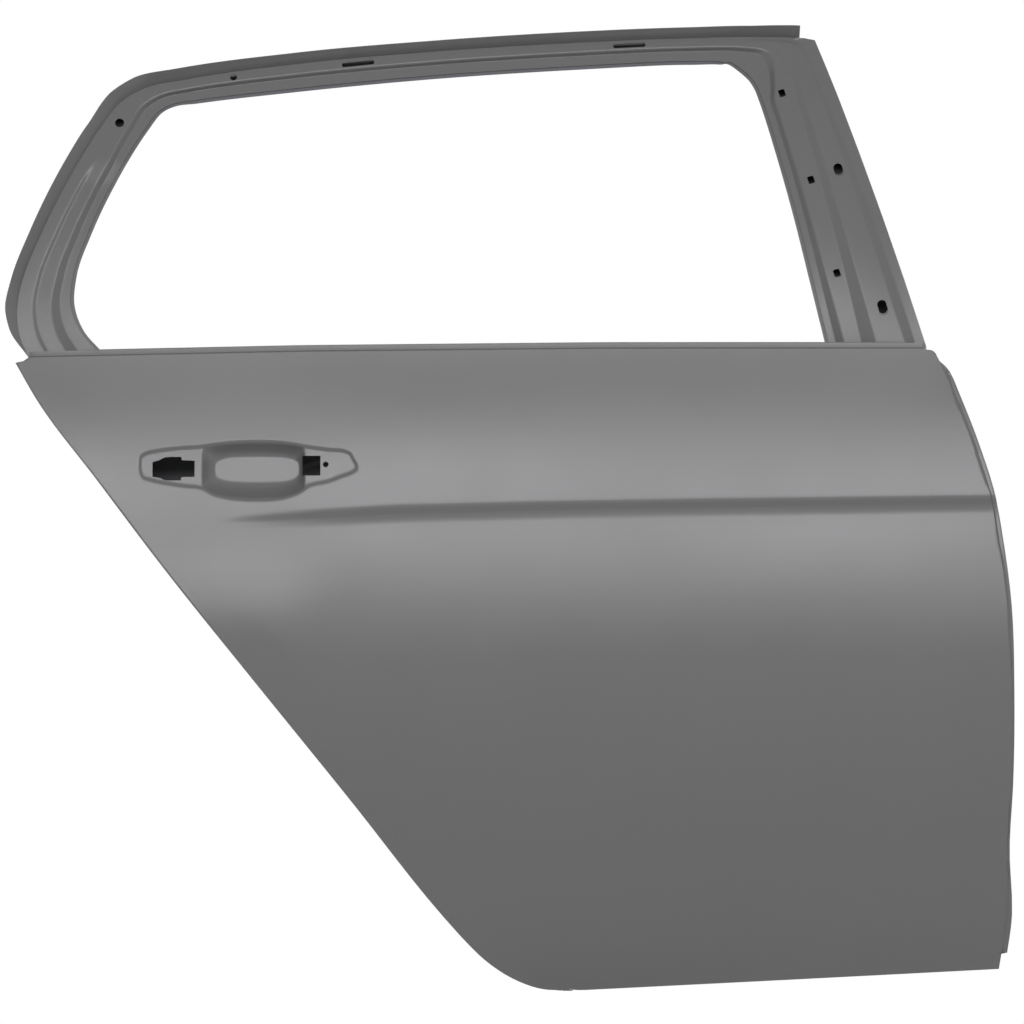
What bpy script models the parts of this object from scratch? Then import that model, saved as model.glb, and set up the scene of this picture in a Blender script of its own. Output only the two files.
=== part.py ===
"""Rear right-hand door shell of a compact five-door car: bare primed sheet metal.

x runs forwards along the car, y inboard and z up. The door is drawn from its own
rear lower corner and then carried by an empty, which puts the centre of the upper
hinge seat at the world origin. The outer skin is hemmed round the inner panel, the
window frame is a box of two stampings whose legs stand in the shell, and the cavity
holds the belt rails, the impact beam and the reinforcements. All sizes are metres.
"""

import math

import bmesh
import bpy
import numpy as np
from mathutils import Vector
from mathutils.geometry import delaunay_2d_cdt

# Overall size
DOOR_LENGTH = 1.122
DOOR_HEIGHT = 1.085

# Sheet metal
SKIN_SHEET = 0.0008
INNER_SHEET = 0.0008
FRAME_SHEET = 0.0010
RAIL_SHEET = 0.0012
PLATE_SHEET = 0.0016
CLEARANCE = 0.0003

# Form of the outer skin, as depths behind its widest line
WIDEST_SHARE = 0.277
BELT_TUCK = 0.036
SILL_TUCK = 0.026
PLAN_BOW = 0.008
CREASE_DEPTH = 0.0065
CREASE_EDGE = 0.008
CREASE_BLEND = 0.110
CREASE_START_SHARE = 0.20
CREASE_FADE_SHARE = 0.20
SILL_CREASE = 0.003
SILL_CREASE_REACH = 0.050
JOGGLE = 0.0025
JOGGLE_RAMP = 0.140
BAND_RAMP_SHARE = 0.3

# Hem and belt flange of the skin
HEM_GAP = 0.0007
HEM_DEPTH = 2 * SKIN_SHEET + INNER_SHEET + 2 * HEM_GAP
HEM_RETURN = 0.009
BELT_SET_IN = 0.004
BELT_FLANGE = 0.0063
BELT_RADIUS = 0.0006

# Handle recess
HANDLE_LENGTH = 0.2415
HANDLE_HEIGHT = 0.0672
LEDGE_DEPTH = 0.003
LEDGE_EDGE = 0.0030
CUP_EDGE = 0.0010
CUP_DEPTH = 0.027
SCREW_HOLE = 0.0062

# Window frame
FRAME_SET_BACK = 0.058
FRAME_LEAN = 0.22
FRAME_RADIUS = 1.47
FRAME_BOX = 0.029
LIP_RISE = 0.014
MAIN_STEP = 0.007
REAR_BEAD = 0.0025
POST_RAISE_FOOT = 0.008
POST_RAISE_TOP = 0.003
POST_FLANGE_DROP = 0.004
GLASS_FLANGE = 0.004
BOX_FLANGE = 0.011
BOX_WALL = 0.004
FLANGE_FOOT_SHARE = 0.45
GLASS_FLANGE_SHARE = 0.6
LEG_BLEND = 0.100

# Inner panel
INNER_DEPTH = 0.120
LEDGE_LEVEL = 0.048
FLANGE_WIDTH = 0.014
LEDGE_START = 0.020
LEDGE_END = 0.034
WALL_END = 0.044
HINGE_WALL_SET_BACK = 0.040
HINGE_WALL = DOOR_LENGTH - HINGE_WALL_SET_BACK
HINGE_INSET = 0.020
WALL_RADIUS = 0.004
LAND_DEPTH = 0.004
LAND_SLOPE = 0.005
LAND_WIDTH = 0.024
REAR_END_SHARE = 0.553
FRONT_END_SHARE = 0.604
PANEL_TOP_GAP = 0.006

# Hinge and check seats on the front wall
SEAT_DEPTH_SHARE = 0.55
SEAT_DEPTH = SEAT_DEPTH_SHARE * INNER_DEPTH
UPPER_SEAT_SHARE = 0.41659
LOWER_SEAT_SHARE = 0.13088
UPPER_SEAT_HEIGHT = UPPER_SEAT_SHARE * DOOR_HEIGHT
LOWER_SEAT_HEIGHT = LOWER_SEAT_SHARE * DOOR_HEIGHT
SEAT_PITCH = UPPER_SEAT_HEIGHT - LOWER_SEAT_HEIGHT
HINGE_BOLT_PITCH = 0.044
HINGE_BOLT_HOLE = 0.011
HINGE_PLATE_HEIGHT = 0.104
HINGE_PLATE_WIDTH_SHARE = 0.60
HINGE_PLATE_WIDTH = HINGE_PLATE_WIDTH_SHARE * INNER_DEPTH
TAPPING_THICKNESS = 0.006
TAPPING_HEIGHT = 0.066
TAPPING_WIDTH = 0.026
CHECK_SHARE = 0.5903
CHECK_HEIGHT = LOWER_SEAT_HEIGHT + CHECK_SHARE * SEAT_PITCH
CHECK_SLOT_HEIGHT = 0.030
CHECK_SLOT_WIDTH = 0.016
CHECK_PLATE_HEIGHT = 0.084
CHECK_PLATE_WIDTH = 0.060
CHECK_BOLT_PITCH = 0.052
CHECK_BOLT_HOLE = 0.0065
GROMMET_SHARE = 0.7839
GROMMET_HEIGHT = LOWER_SEAT_HEIGHT + GROMMET_SHARE * SEAT_PITCH
GROMMET_HOLE = 0.026

# Impact beam
BEAM_RADIUS = 0.016
BEAM_WALL = 0.0025
BEAM_END_GAP = 0.036
BEAM_FRONT_X = HINGE_WALL - BEAM_END_GAP
BRACKET_LAP = 0.078
BRACKET_HEIGHT = 0.080
BRACKET_FLANGE = 0.026

# Rails along the belt
OUTER_RAIL_RISE = 0.0010
OUTER_RAIL_DROP_SHARE = 0.06267281
OUTER_RAIL_DROP = OUTER_RAIL_DROP_SHARE * DOOR_HEIGHT
OUTER_RAIL_CHANNEL = 0.005
RAIL_LIP = 0.012
RAIL_SLOPE = 0.008
INNER_RAIL_DROP = 0.066
OUTER_RAIL_SPAN_SHARES = (0.078, 0.895)
INNER_RAIL_SPAN_SHARES = (0.138, 0.815)
INNER_RAIL_CHANNEL = 0.016

# Reinforcements and small fixings
HANDLE_PLATE_MARGIN = 0.012
HANDLE_PLATE_CLEAR = 0.0035
LATCH_SHARE = 0.385
LATCH_PLATE_LENGTH = 0.110
LATCH_HOLE_LENGTH = 0.060
LATCH_HOLE_WIDTH = 0.024
LATCH_HOLE_POWER = 3.2
LATCH_SIDES = 16
LATCH_PLATE_WIDTH = 0.046
LATCH_PLATE_CLEAR = 0.0006
NUT_ACROSS = 0.013
NUT_HEIGHT = 0.005
NUT_BORE = 0.0062
BOLT_HOLE = 0.0070
PAD_LENGTH = 0.046
PAD_HEIGHT = 0.018
PAD_SHARES = (0.14, 0.36, 0.58, 0.80)
CLIP_HOLE = 0.0085

# Outline of the skin, in shares of the door's length and height, anticlockwise
REAR_EDGE_SHARES = (
    (0.0133, 0.6417), (0.0359, 0.6026), (0.0964, 0.5209), (0.1566, 0.4396), (0.2513, 0.3180),
    (0.3464, 0.1961), (0.4404, 0.0734), (0.4581, 0.0528), (0.4807, 0.0299), (0.5083, 0.0112),
    (0.5330, 0.0018), (0.5645, -0.0003),
)
NOTCH_SHARES = ((0.9863, 0.0216), (0.9884, 0.0383), (0.9943, 0.0377))
FRONT_EDGE_SHARES = (
    (0.9943, 0.0377), (0.9982, 0.0734), (0.9952, 0.1453), (0.9984, 0.2164), (0.9993, 0.3078),
    (0.9966, 0.3991), (0.9894, 0.4599), (0.9828, 0.5006), (0.9651, 0.5617), (0.9427, 0.6231),
)
FRONT_TOP_SHARES = (
    (0.9427, 0.6231), (0.9380, 0.6329), (0.9326, 0.6391), (0.9273, 0.6432), (0.9230, 0.6504),
    (0.9156, 0.6542),
)
FACE_EDGE_SHARES = (
    (0.9326, 0.6355), (0.9490, 0.5873), (0.9682, 0.5321), (0.9774, 0.5006), (0.9835, 0.4609),
    (0.9904, 0.4143), (0.9950, 0.3484), (0.9966, 0.2977), (0.9965, 0.2368), (0.9927, 0.1554),
    (0.9925, 0.0939), (0.9896, 0.0528), (0.9884, 0.0383),
)
BELT_LINE_SHARES = ((0.0270, 0.6468), (0.2958, 0.6525), (0.5924, 0.6555), (0.9137, 0.6558))
HORN_SHARES = ((0.0212, 0.6427),)
CREASE_LINE_SHARES = (
    (0.0, 0.478), (0.2134, 0.4833), (0.3953, 0.4930), (0.5525, 0.4970), (0.7097, 0.4996),
    (0.8669, 0.5016), (0.9828, 0.5031),
)
SILL_LINE_SHARES = ((0.0, 0.040), (0.5496, 0.0492), (0.9757, 0.0631))

# Handle recess: its middle on the door, then its outline, anticlockwise, and the middles
# and sizes of its cup and holes, in shares of the recess's length and height
HANDLE_MIDDLE_SHARES = (0.2453, 0.53005)
HANDLE_OUTLINE_SHARES = (
    (-0.4911, -0.0331), (-0.4678, -0.1429), (-0.4153, -0.1962), (-0.2258, -0.2656),
    (-0.1724, -0.3447), (-0.1120, -0.4432), (0.0214, -0.4997), (0.1608, -0.4561),
    (0.2360, -0.3609), (0.2904, -0.2511), (0.4544, -0.0977), (0.4953, -0.0073),
    (0.4999, 0.0767), (0.4790, 0.2721), (0.4586, 0.3302), (0.3638, 0.3883),
    (0.1357, 0.4916), (0.0223, 0.4997), (-0.0999, 0.4852), (-0.3554, 0.3786),
    (-0.4697, 0.2963), (-0.4967, 0.2527), (-0.4999, 0.1316),
)
CUP_MIDDLE_SHARES = (0.0135, 0.0024)
CUP_FLOOR_MIDDLE_SHARES = (0.0288, 0.0396)
KEY_HOLE_MIDDLE_SHARES = (-0.3452, 0.0379)
PULL_HOLE_MIDDLE_SHARES = (0.2908, 0.0912)
SCREW_HOLE_MIDDLE_SHARES = (0.3563, 0.1090)
CUP_SIZE_SHARES = (0.447, 1.16)
CUP_FLOOR_SIZE_SHARES = (0.364, 0.417)
CUP_WALL_SHARES = ((0.10, 0.16), (0.86, 0.88), (1.0, 1.0))
KEY_HOLE_SIZE_SHARES = (0.1905, 0.387)
PULL_HOLE_SIZE_SHARES = (0.0828, 0.320)
KEY_HOLE_OUTLINE_SHARES = (
    (-0.50, -0.20), (-0.44, -0.32), (-0.33, -0.36), (-0.26, -0.50), (0.08, -0.50),
    (0.17, -0.36), (0.46, -0.34), (0.50, -0.26), (0.50, 0.28), (0.45, 0.36),
    (0.17, 0.38), (0.08, 0.50), (-0.26, 0.50), (-0.34, 0.34), (-0.44, 0.30), (-0.50, 0.20),
)

# Window frame: matched stations from the rear foot over the header to the front foot
FRAME_ROOT_SHARES = (
    (0.0247, 0.6476), (0.0154, 0.6703), (0.0125, 0.7015), (0.0167, 0.7276), (0.0345, 0.7781),
    (0.0686, 0.8527), (0.0922, 0.8947), (0.1096, 0.9186), (0.1344, 0.9339), (0.1736, 0.9426),
    (0.2798, 0.9591), (0.4219, 0.9734), (0.5746, 0.9837), (0.6867, 0.9886), (0.7479, 0.9900),
    (0.8029, 0.9880), (0.8142, 0.9856), (0.8243, 0.9569), (0.8355, 0.9240), (0.8549, 0.8634),
    (0.8761, 0.7951), (0.8963, 0.7276), (0.9165, 0.6579),
)
FRAME_EDGE_SHARES = (
    (0.0925, 0.6540), (0.0757, 0.6737), (0.0650, 0.7029), (0.0662, 0.7302), (0.0799, 0.7765),
    (0.1123, 0.8501), (0.1342, 0.8889), (0.1468, 0.9073), (0.1607, 0.9157), (0.1839, 0.9201),
    (0.2800, 0.9324), (0.4220, 0.9471), (0.5745, 0.9579), (0.6866, 0.9632), (0.7191, 0.9623),
    (0.7353, 0.9571), (0.7453, 0.9483), (0.7541, 0.9357), (0.7598, 0.9193), (0.7748, 0.8640),
    (0.7914, 0.7956), (0.8060, 0.7281), (0.8208, 0.6602),
)
LIP_SHARES = (
    (0.0245, 0.6483), (0.0082, 0.6711), (0.0014, 0.6991), (0.0070, 0.7273), (0.0238, 0.7777),
    (0.0571, 0.8542), (0.0797, 0.8952), (0.0988, 0.9256), (0.1244, 0.9436), (0.1667, 0.9529),
    (0.2799, 0.9694), (0.4220, 0.9832), (0.5746, 0.9937), (0.6866, 0.9984), (0.7478, 1.0000),
    (0.8028, 0.9998),
)
LIP_FADE_SHARES = (0.0, 0.35, 0.8, 1.0)
LIP_ROW_SHARES = (0.5, 1.0)
LIP_POWER = 0.8
REAR_LEG_ROOT_SHARES = ((0.0760, 0.5800), (0.0560, 0.6080), (0.0330, 0.6380))
REAR_LEG_EDGE_SHARES = ((0.1220, 0.5800), (0.1120, 0.6080), (0.0990, 0.6380))
FRONT_LEG_ROOT_SHARES = ((0.9165, 0.6400), (0.9160, 0.6050), (0.9150, 0.5650))
FRONT_LEG_EDGE_SHARES = ((0.8260, 0.6400), (0.8400, 0.6050), (0.8480, 0.5650))

# Section lines of the frame, as shares of the way from root to glass edge
FRAME_CORNER = 16
POST_STATION = 18
STRIP_EDGE_SHARE = 0.06
SECTION_STATIONS = (0, 3, 5, 7, 9, 14, 16, 18, 20, 22)
SECTION_LINE_SHARES = (
    (0.27, 0.31, 0.40, 0.48, 0.58, 0.72),
    (0.30, 0.37, 0.46, 0.56, 0.68, 0.81),
    (0.31, 0.40, 0.48, 0.57, 0.68, 0.79),
    (0.20, 0.28, 0.36, 0.44, 0.54, 0.66),
    (0.12, 0.20, 0.28, 0.36, 0.44, 0.56),
    (0.11, 0.17, 0.24, 0.32, 0.42, 0.54),
    (0.17, 0.22, 0.34, 0.44, 0.62, 0.71),
    (0.18, 0.23, 0.46, 0.55, 0.84, 0.90),
    (0.12, 0.23, 0.50, 0.61, 0.85, 0.91),
    (0.11, 0.21, 0.51, 0.66, 0.84, 0.92),
)
BEAD_FADE_SHARES = (0.6, 1.0, 1.0, 0.0, 0.0, 0.0, 0.0, 0.0, 0.0, 0.0)
POST_FADE_SHARES = (0.0, 0.0, 0.0, 0.0, 0.0, 0.0, 0.3, 1.0, 1.0, 1.0)

# Holes of the frame: their middles in shares, their sizes, and their tilts in degrees
ROUND_HOLE_SHARES = ((0.1088, 0.8950), (0.2226, 0.9450))
ROUND_HOLES = (0.0102, 0.0077)
HEADER_SLOT_SHARES = ((0.3489, 0.9599), (0.6250, 0.9801))
HEADER_SLOT_LENGTH = 0.0370
HEADER_SLOT_WIDTH = 0.0050
HEADER_SLOT_TILTS = (6, 3)
POST_SLOT_SHARES = ((0.8334, 0.8439), (0.8738, 0.6984))
POST_SLOT_LENGTHS = (0.0150, 0.0176)
POST_SLOT_WIDTH = 0.0105
POST_SLOT_TILTS = (103, 104)
CLIP_HOLE_SHARES = ((0.7790, 0.9275), (0.8059, 0.8336), (0.8296, 0.7350))
CLIP_WIDTH_SHARE = 0.85
CLIP_TILT = -17

# Inner panel: access opening and other holes, in shares of length and height
ACCESS_SHARES = (
    (0.336, 0.350), (0.398, 0.270), (0.445, 0.212), (0.495, 0.178), (0.580, 0.165),
    (0.720, 0.165), (0.800, 0.175), (0.835, 0.210), (0.850, 0.300), (0.850, 0.420),
    (0.835, 0.490), (0.790, 0.520), (0.640, 0.530), (0.450, 0.530), (0.330, 0.520),
    (0.268, 0.490), (0.280, 0.430),
)
PANEL_TOP_SHARES = (0.905, 0.885, 0.060)
PANEL_REAR_CORNER_SHARES = (0.052, 0.615)
LOWER_HOLE_SHARES = ((0.56, 0.088), (0.70, 0.088), (0.84, 0.094))
CARRIER_BOLTS = 10
BEAM_REAR_SHARES = (0.2103, 0.4245)
BEAM_FRONT_HEIGHT_SHARE = 0.2177
CLIP_ROW_SHARES = ((0.20, 0.50), (0.22, 0.565), (0.93, 0.50), (0.935, 0.30), (0.92, 0.14))

# Spacing of the skin's inner points: columns, and rows between crease and belt and below
SKIN_SPACING = 0.044
CREASE_SPAN_SHARES = (0.205, 0.969)
FIELD_RISE_SHARES = (0.16, 0.32, 0.48, 0.64, 0.80)
FIELD_FALL_SHARES = (0.25, 0.5, 0.75, 1.0, 1.5, 2.0, 2.5, 3.0, 3.5, 4.0, 4.4)
FIELD_MARGIN_SHARE = 0.35

# How many points the curves get, and how square the rounded outlines are
REAR_EDGE_POINTS = 38
FRAME_STATIONS = 66
BEAM_SIDES = 20
CUP_POWER = 6.0
FLOOR_POWER = 3.6
PULL_HOLE_POWER = 5.0
PULL_HOLE_SIDES = 16
CUP_SIDES = 36
CIRCLE_SIDES = 14
SMALL_CIRCLE_SIDES = 10

for old in list(bpy.data.objects):
    bpy.data.objects.remove(old, do_unlink=True)

parts = bpy.data.collections.new("car_door_shell")
cutters = bpy.data.collections.new("cutters")
bpy.context.scene.collection.children.link(parts)
bpy.context.scene.collection.children.link(cutters)

door_origin = bpy.data.objects.new("door_origin", None)
parts.objects.link(door_origin)
door_origin.location = (-HINGE_WALL, -SEAT_DEPTH, -UPPER_SEAT_HEIGHT)


def finish(name, grey, roughness, metallic):
    """A coated or bare metal finish of one neutral colour."""
    material = bpy.data.materials.new(name)
    material.use_nodes = True
    shader = material.node_tree.nodes["Principled BSDF"]
    shader.inputs["Base Color"].default_value = (*grey, 1.0)
    shader.inputs["Roughness"].default_value = roughness
    shader.inputs["Metallic"].default_value = metallic
    return material


def ease(value):
    """Smooth step from 0 to 1."""
    t = np.clip(value, 0.0, 1.0)
    return t * t * (3.0 - 2.0 * t)


def sized(shares):
    """Points given in shares, in metres on the door."""
    return np.array(shares, float) * (DOOR_LENGTH, DOOR_HEIGHT)


def on_handle(shares):
    """Points given in shares of the handle recess, about its middle."""
    return sized(HANDLE_MIDDLE_SHARES) + np.array(shares, float) * (HANDLE_LENGTH, HANDLE_HEIGHT)


def line_z(shares, x):
    """Height of a line given in shares, at x."""
    points = sized(shares)
    return np.interp(x, points[:, 0], points[:, 1])


def height_of(points, x):
    """Height of a line at x."""
    order = np.argsort(points[:, 0])
    return np.interp(x, points[order, 0], points[order, 1])


def edge_x(points, z):
    """Where an upright edge stands at height z."""
    order = np.argsort(points[:, 1])
    return np.interp(z, points[order, 1], points[order, 0])


def travel(points):
    """Distance along a line at each of its points."""
    steps = np.linalg.norm(np.diff(points, axis=0), axis=1)
    return np.concatenate([[0.0], np.cumsum(steps)])


def cubic(points, stations, at):
    """Cubic through points known at rising stations, read at other stations."""
    slopes = np.gradient(points, stations, axis=0)
    i = np.clip(np.searchsorted(stations, at, side="right") - 1, 0, len(stations) - 2)
    span = (stations[i + 1] - stations[i])[:, None]
    u = (at - stations[i])[:, None] / span
    start = (1 + 2 * u) * (1 - u) ** 2 * points[i] + u * (1 - u) ** 2 * span * slopes[i]
    end = u**2 * (3 - 2 * u) * points[i + 1] + u**2 * (u - 1) * span * slopes[i + 1]
    return start + end


def smooth(points, count):
    """Evenly spaced points on a smooth line through the given ones."""
    points = np.asarray(points, float)
    stations = travel(points)
    return cubic(points, stations, np.linspace(0.0, stations[-1], count))


def smooth_loop(points, count):
    """Evenly spaced points on a smooth closed line."""
    points = np.asarray(points, float)
    wrapped = np.concatenate([points[-3:], points, points[:4]])
    stations = travel(wrapped)
    at = np.linspace(stations[3], stations[3 + len(points)], count + 1)[:-1]
    return cubic(wrapped, stations, at)


def spaced(points, count):
    """Evenly spaced points along straight stretches."""
    stations = travel(points)
    at = np.linspace(0.0, stations[-1], count)
    return np.stack([np.interp(at, stations, points[:, k]) for k in (0, 1)], axis=1)


def with_heights(line, heights):
    """A rising line with points added at the given heights, for those that lie near one."""
    own = line[:, 1]
    spacing = np.diff(own).min() / 3
    kept = np.abs(own[:, None] - np.array(heights)[None]).min(axis=1) > spacing
    every = np.sort(np.concatenate([own[kept], heights]))
    return np.stack([np.interp(every, own, line[:, 0]), every], axis=1)


def inset(path, distance, closed=False):
    """An anticlockwise line moved to its inner side by a distance."""
    path = np.asarray(path, float)
    ahead = np.roll(path, -1, axis=0) - path
    if not closed:
        ahead[-1] = ahead[-2]
    ahead = ahead / np.linalg.norm(ahead, axis=1)[:, None]
    back = np.roll(ahead, 1, axis=0)
    if not closed:
        back[0] = ahead[0]
    left_ahead = np.stack([-ahead[:, 1], ahead[:, 0]], axis=1)
    left_back = np.stack([-back[:, 1], back[:, 0]], axis=1)
    middle = left_ahead + left_back
    share = 1.0 + np.sum(left_ahead * left_back, axis=1)
    return path + distance * middle / np.maximum(share, 0.5)[:, None]


def skin_y(x, z):
    """Depth of the skin: tucked in at belt and sill, bowed in plan, creased along the side."""
    x = np.asarray(x, float)
    z = np.asarray(z, float)
    widest = WIDEST_SHARE * DOOR_HEIGHT
    rise = np.clip((z - widest) / (line_z(BELT_LINE_SHARES, x) - widest), 0.0, None)
    fall = np.clip((widest - z) / widest, 0.0, None)
    drop = line_z(CREASE_LINE_SHARES, x) - z
    along = (x / DOOR_LENGTH - CREASE_START_SHARE) / CREASE_FADE_SHARE
    crease = CREASE_DEPTH * ease(along) * ease(drop / CREASE_EDGE)
    crease = crease * (1.0 - ease((drop - CREASE_EDGE) / CREASE_BLEND))
    below = np.clip((line_z(SILL_LINE_SHARES, x) - z) / SILL_CREASE_REACH, 0.0, None)
    bow = PLAN_BOW * (2.0 * x / DOOR_LENGTH - 1.0) ** 2
    return bow + BELT_TUCK * rise**2.2 + SILL_TUCK * fall**2 + crease + SILL_CREASE * below**1.5


def frame_y(z):
    """Depth of the window frame's face, which leans inboard and follows the glass's curve."""
    height = z - line_z(BELT_LINE_SHARES, DOOR_LENGTH / 2)
    return FRAME_SET_BACK + FRAME_LEAN * height + height * np.abs(height) / (2 * FRAME_RADIUS)


def raised(points, depth):
    """Plan points with their depths, as x, y, z."""
    points = np.asarray(points, float)
    depth = np.broadcast_to(depth, (len(points),))
    return np.stack([points[:, 0], depth, points[:, 1]], axis=1)


def on_skin(points, depth=0.0):
    """Plan points laid on the skin, or a depth behind it."""
    points = np.asarray(points, float)
    return raised(points, skin_y(points[:, 0], points[:, 1]) + depth)


def pressed(outer, holes=(), lines=(), points=()):
    """Triangles over an outline with holes, kept to the given lines and points.

    Every argument holds x, y, z points. Gives the vertices, the faces and, for each
    input point in order, its vertex.
    """
    groups = [outer, *holes, *lines, *points]
    table = np.concatenate([np.asarray(group, float) for group in groups])
    flat = [Vector((x, z)) for x, _, z in table]
    faces, edges, start = [], [], 0
    for group in (outer, *holes):
        faces.append(list(range(start, start + len(group))))
        start += len(group)
    for group in lines:
        edges += [(start + k, start + k + 1) for k in range(len(group) - 1)]
        start += len(group)
    found = delaunay_2d_cdt(flat, edges, faces, 1, CLEARANCE / 1000)
    spots, triangles, sources, owners = found[0], found[2], found[3], found[5]
    keep = [list(face) for face, owner in zip(triangles, owners) if list(owner) == [0]]
    vertices, place = [], {}
    for index, (spot, source) in enumerate(zip(spots, sources)):
        vertices.append(tuple(table[source[0]]) if source else (spot.x, 0.0, spot.y))
        place.update({given: index for given in source})
    return vertices, keep, place


def skirt(vertices, faces, first, rows):
    """Strips that carry on from a row of vertices, outwards of an anticlockwise edge."""
    last = list(first)
    for row in rows:
        start = len(vertices)
        vertices.extend(map(tuple, row))
        new = list(range(start, start + len(row)))
        for k in range(len(new) - 1):
            faces.append((last[k + 1], last[k], new[k], new[k + 1]))
        last = new
    return last


def grid(rows, closed=False):
    """Vertices and faces of a surface lofted through rows of matched points."""
    count = len(rows[0])
    vertices = [tuple(point) for row in rows for point in row]
    faces = []
    for r in range(len(rows) - 1):
        for k in range(count if closed else count - 1):
            a, b = r * count + k, r * count + (k + 1) % count
            faces.append((a, b, b + count, a + count))
    return vertices, faces


def link(name, mesh, material):
    """A named object that rides on the door's origin."""
    item = bpy.data.objects.new(name, mesh)
    mesh.materials.append(material)
    parts.objects.link(item)
    item.parent = door_origin
    return item


def sheet(name, vertices, faces, thickness, material, side=-1.0):
    """A pressed sheet: a surface given its gauge. Side -1 puts the metal behind the surface."""
    mesh = bpy.data.meshes.new(name)
    mesh.from_pydata([tuple(map(float, v)) for v in vertices], [], faces)
    work = bmesh.new()
    work.from_mesh(mesh)
    loose = [v for v in work.verts if not v.link_faces]
    bmesh.ops.delete(work, geom=loose, context="VERTS")
    bmesh.ops.triangulate(work, faces=work.faces[:])
    work.to_mesh(mesh)
    work.free()
    item = link(name, mesh, material)
    gauge = item.modifiers.new("gauge", "SOLIDIFY")
    gauge.thickness = thickness
    gauge.offset = side
    gauge.use_even_offset = True
    gauge.use_rim = True
    mesh.shade_smooth()
    mesh.set_sharp_from_angle(angle=math.radians(35))
    return item


def circle(x, z, diameter, sides=SMALL_CIRCLE_SIDES):
    """A round outline in plan, anticlockwise."""
    turn = np.linspace(0.0, 2.0 * math.pi, sides, endpoint=False)
    return np.stack([x + diameter / 2 * np.cos(turn), z + diameter / 2 * np.sin(turn)], axis=1)


def rounded(middle, length, height, power, sides):
    """A rounded rectangle: a superellipse, anticlockwise."""
    turn = np.linspace(0.0, 2.0 * math.pi, sides, endpoint=False)
    c, s = np.cos(turn), np.sin(turn)
    x = np.sign(c) * np.abs(c) ** (2.0 / power) * length / 2
    z = np.sign(s) * np.abs(s) ** (2.0 / power) * height / 2
    return np.stack([middle[0] + x, middle[1] + z], axis=1)


def slot_outline(length, width, sides=6):
    """A slot with round ends, anticlockwise about its middle."""
    half = max(length - width, 0.0) / 2
    turn = np.linspace(-math.pi / 2, math.pi / 2, sides)
    right = np.stack([half + width / 2 * np.cos(turn), width / 2 * np.sin(turn)], axis=1)
    return np.concatenate([right, -right]) if half > 0 else circle(0.0, 0.0, width)


def cutter(name, outline, place, across, up, through):
    """A prism that cuts a hole: an outline in the plane of two axes, run both ways."""
    across, up = Vector(across).normalized(), Vector(up).normalized()
    axis = across.cross(up)
    work = bmesh.new()
    base = [Vector(place) + across * a + up * b - axis * through for a, b in outline]
    face = work.faces.new([work.verts.new(point) for point in base])
    pushed = bmesh.ops.extrude_face_region(work, geom=[face])["geom"]
    moved = [item for item in pushed if isinstance(item, bmesh.types.BMVert)]
    bmesh.ops.translate(work, verts=moved, vec=axis * (2 * through))
    bmesh.ops.recalc_face_normals(work, faces=work.faces[:])
    mesh = bpy.data.meshes.new(name)
    work.to_mesh(mesh)
    work.free()
    item = bpy.data.objects.new(name, mesh)
    cutters.objects.link(item)
    item.parent = door_origin
    item.hide_render = True
    item.display_type = "WIRE"
    return item


def cut(item, tools):
    """Holes made by cutters."""
    for tool in tools:
        hole = item.modifiers.new(tool.name, "BOOLEAN")
        hole.operation = "DIFFERENCE"
        hole.solver = "EXACT"
        hole.object = tool


def plate(name, outer, holes, place, across, up, thickness, material):
    """A flat plate: an outline with holes in the plane of two axes, thick along their normal."""
    across, up = Vector(across).normalized(), Vector(up).normalized()
    corners = [raised(outer, 0.0), *(raised(hole, 0.0) for hole in holes)]
    flat, faces, _ = pressed(corners[0], corners[1:])
    vertices = [Vector(place) + across * x + up * z for x, _, z in flat]
    return sheet(name, vertices, faces, thickness, material)


def box_outline(length, height, corner=None):
    """A rectangle with cut corners, anticlockwise about its middle."""
    c = min(length, height) / 8 if corner is None else corner
    a, b = length / 2, height / 2
    points = ((a - c, -b), (a, -b + c), (a, b - c), (a - c, b),
              (-a + c, b), (-a, b - c), (-a, -b + c), (-a + c, -b))
    return np.array(points)


primer = finish("grey_primer", (0.175, 0.178, 0.185), 0.34, 0.0)
primer_inner = finish("grey_primer_inner", (0.150, 0.153, 0.160), 0.42, 0.0)
steel = finish("coated_steel", (0.120, 0.122, 0.128), 0.40, 0.4)
zinc = finish("plated_steel", (0.45, 0.45, 0.44), 0.35, 0.9)
mastic = finish("black_mastic", (0.020, 0.020, 0.022), 0.75, 0.0)

# Outer skin
rear_edge = smooth(sized(REAR_EDGE_SHARES), REAR_EDGE_POINTS)
notch = sized(NOTCH_SHARES)
bottom_edge = spaced(np.stack([rear_edge[-1], notch[0]]), 18)
crease_end = line_z(CREASE_LINE_SHARES, DOOR_LENGTH)
crease_steps = (crease_end, crease_end - CREASE_EDGE, crease_end - 3 * CREASE_EDGE)
front_edge = with_heights(smooth(sized(FRONT_EDGE_SHARES), 22), crease_steps)
face_edge = with_heights(smooth(sized(FACE_EDGE_SHARES)[::-1], 22), crease_steps)
front_top = smooth(sized(FRONT_TOP_SHARES), 7)
belt_line = smooth(sized(BELT_LINE_SHARES), 24)[::-1]
hem_line = np.concatenate(
    [rear_edge, bottom_edge[1:], notch[1:2], front_edge, front_top[1:]]
)


def joggled(x, z):
    """How far the front hem band is set in: full beyond the band's second line."""
    inner = edge_x(face_edge, z)
    outer = edge_x(front_edge, z)
    highest = FACE_EDGE_SHARES[0][1] * DOOR_HEIGHT
    inside = (z > notch[1][1] - CLEARANCE) & (z < highest)
    return np.where(inside, JOGGLE * ease((x - inner) / (BAND_RAMP_SHARE * (outer - inner))), 0.0)


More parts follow.
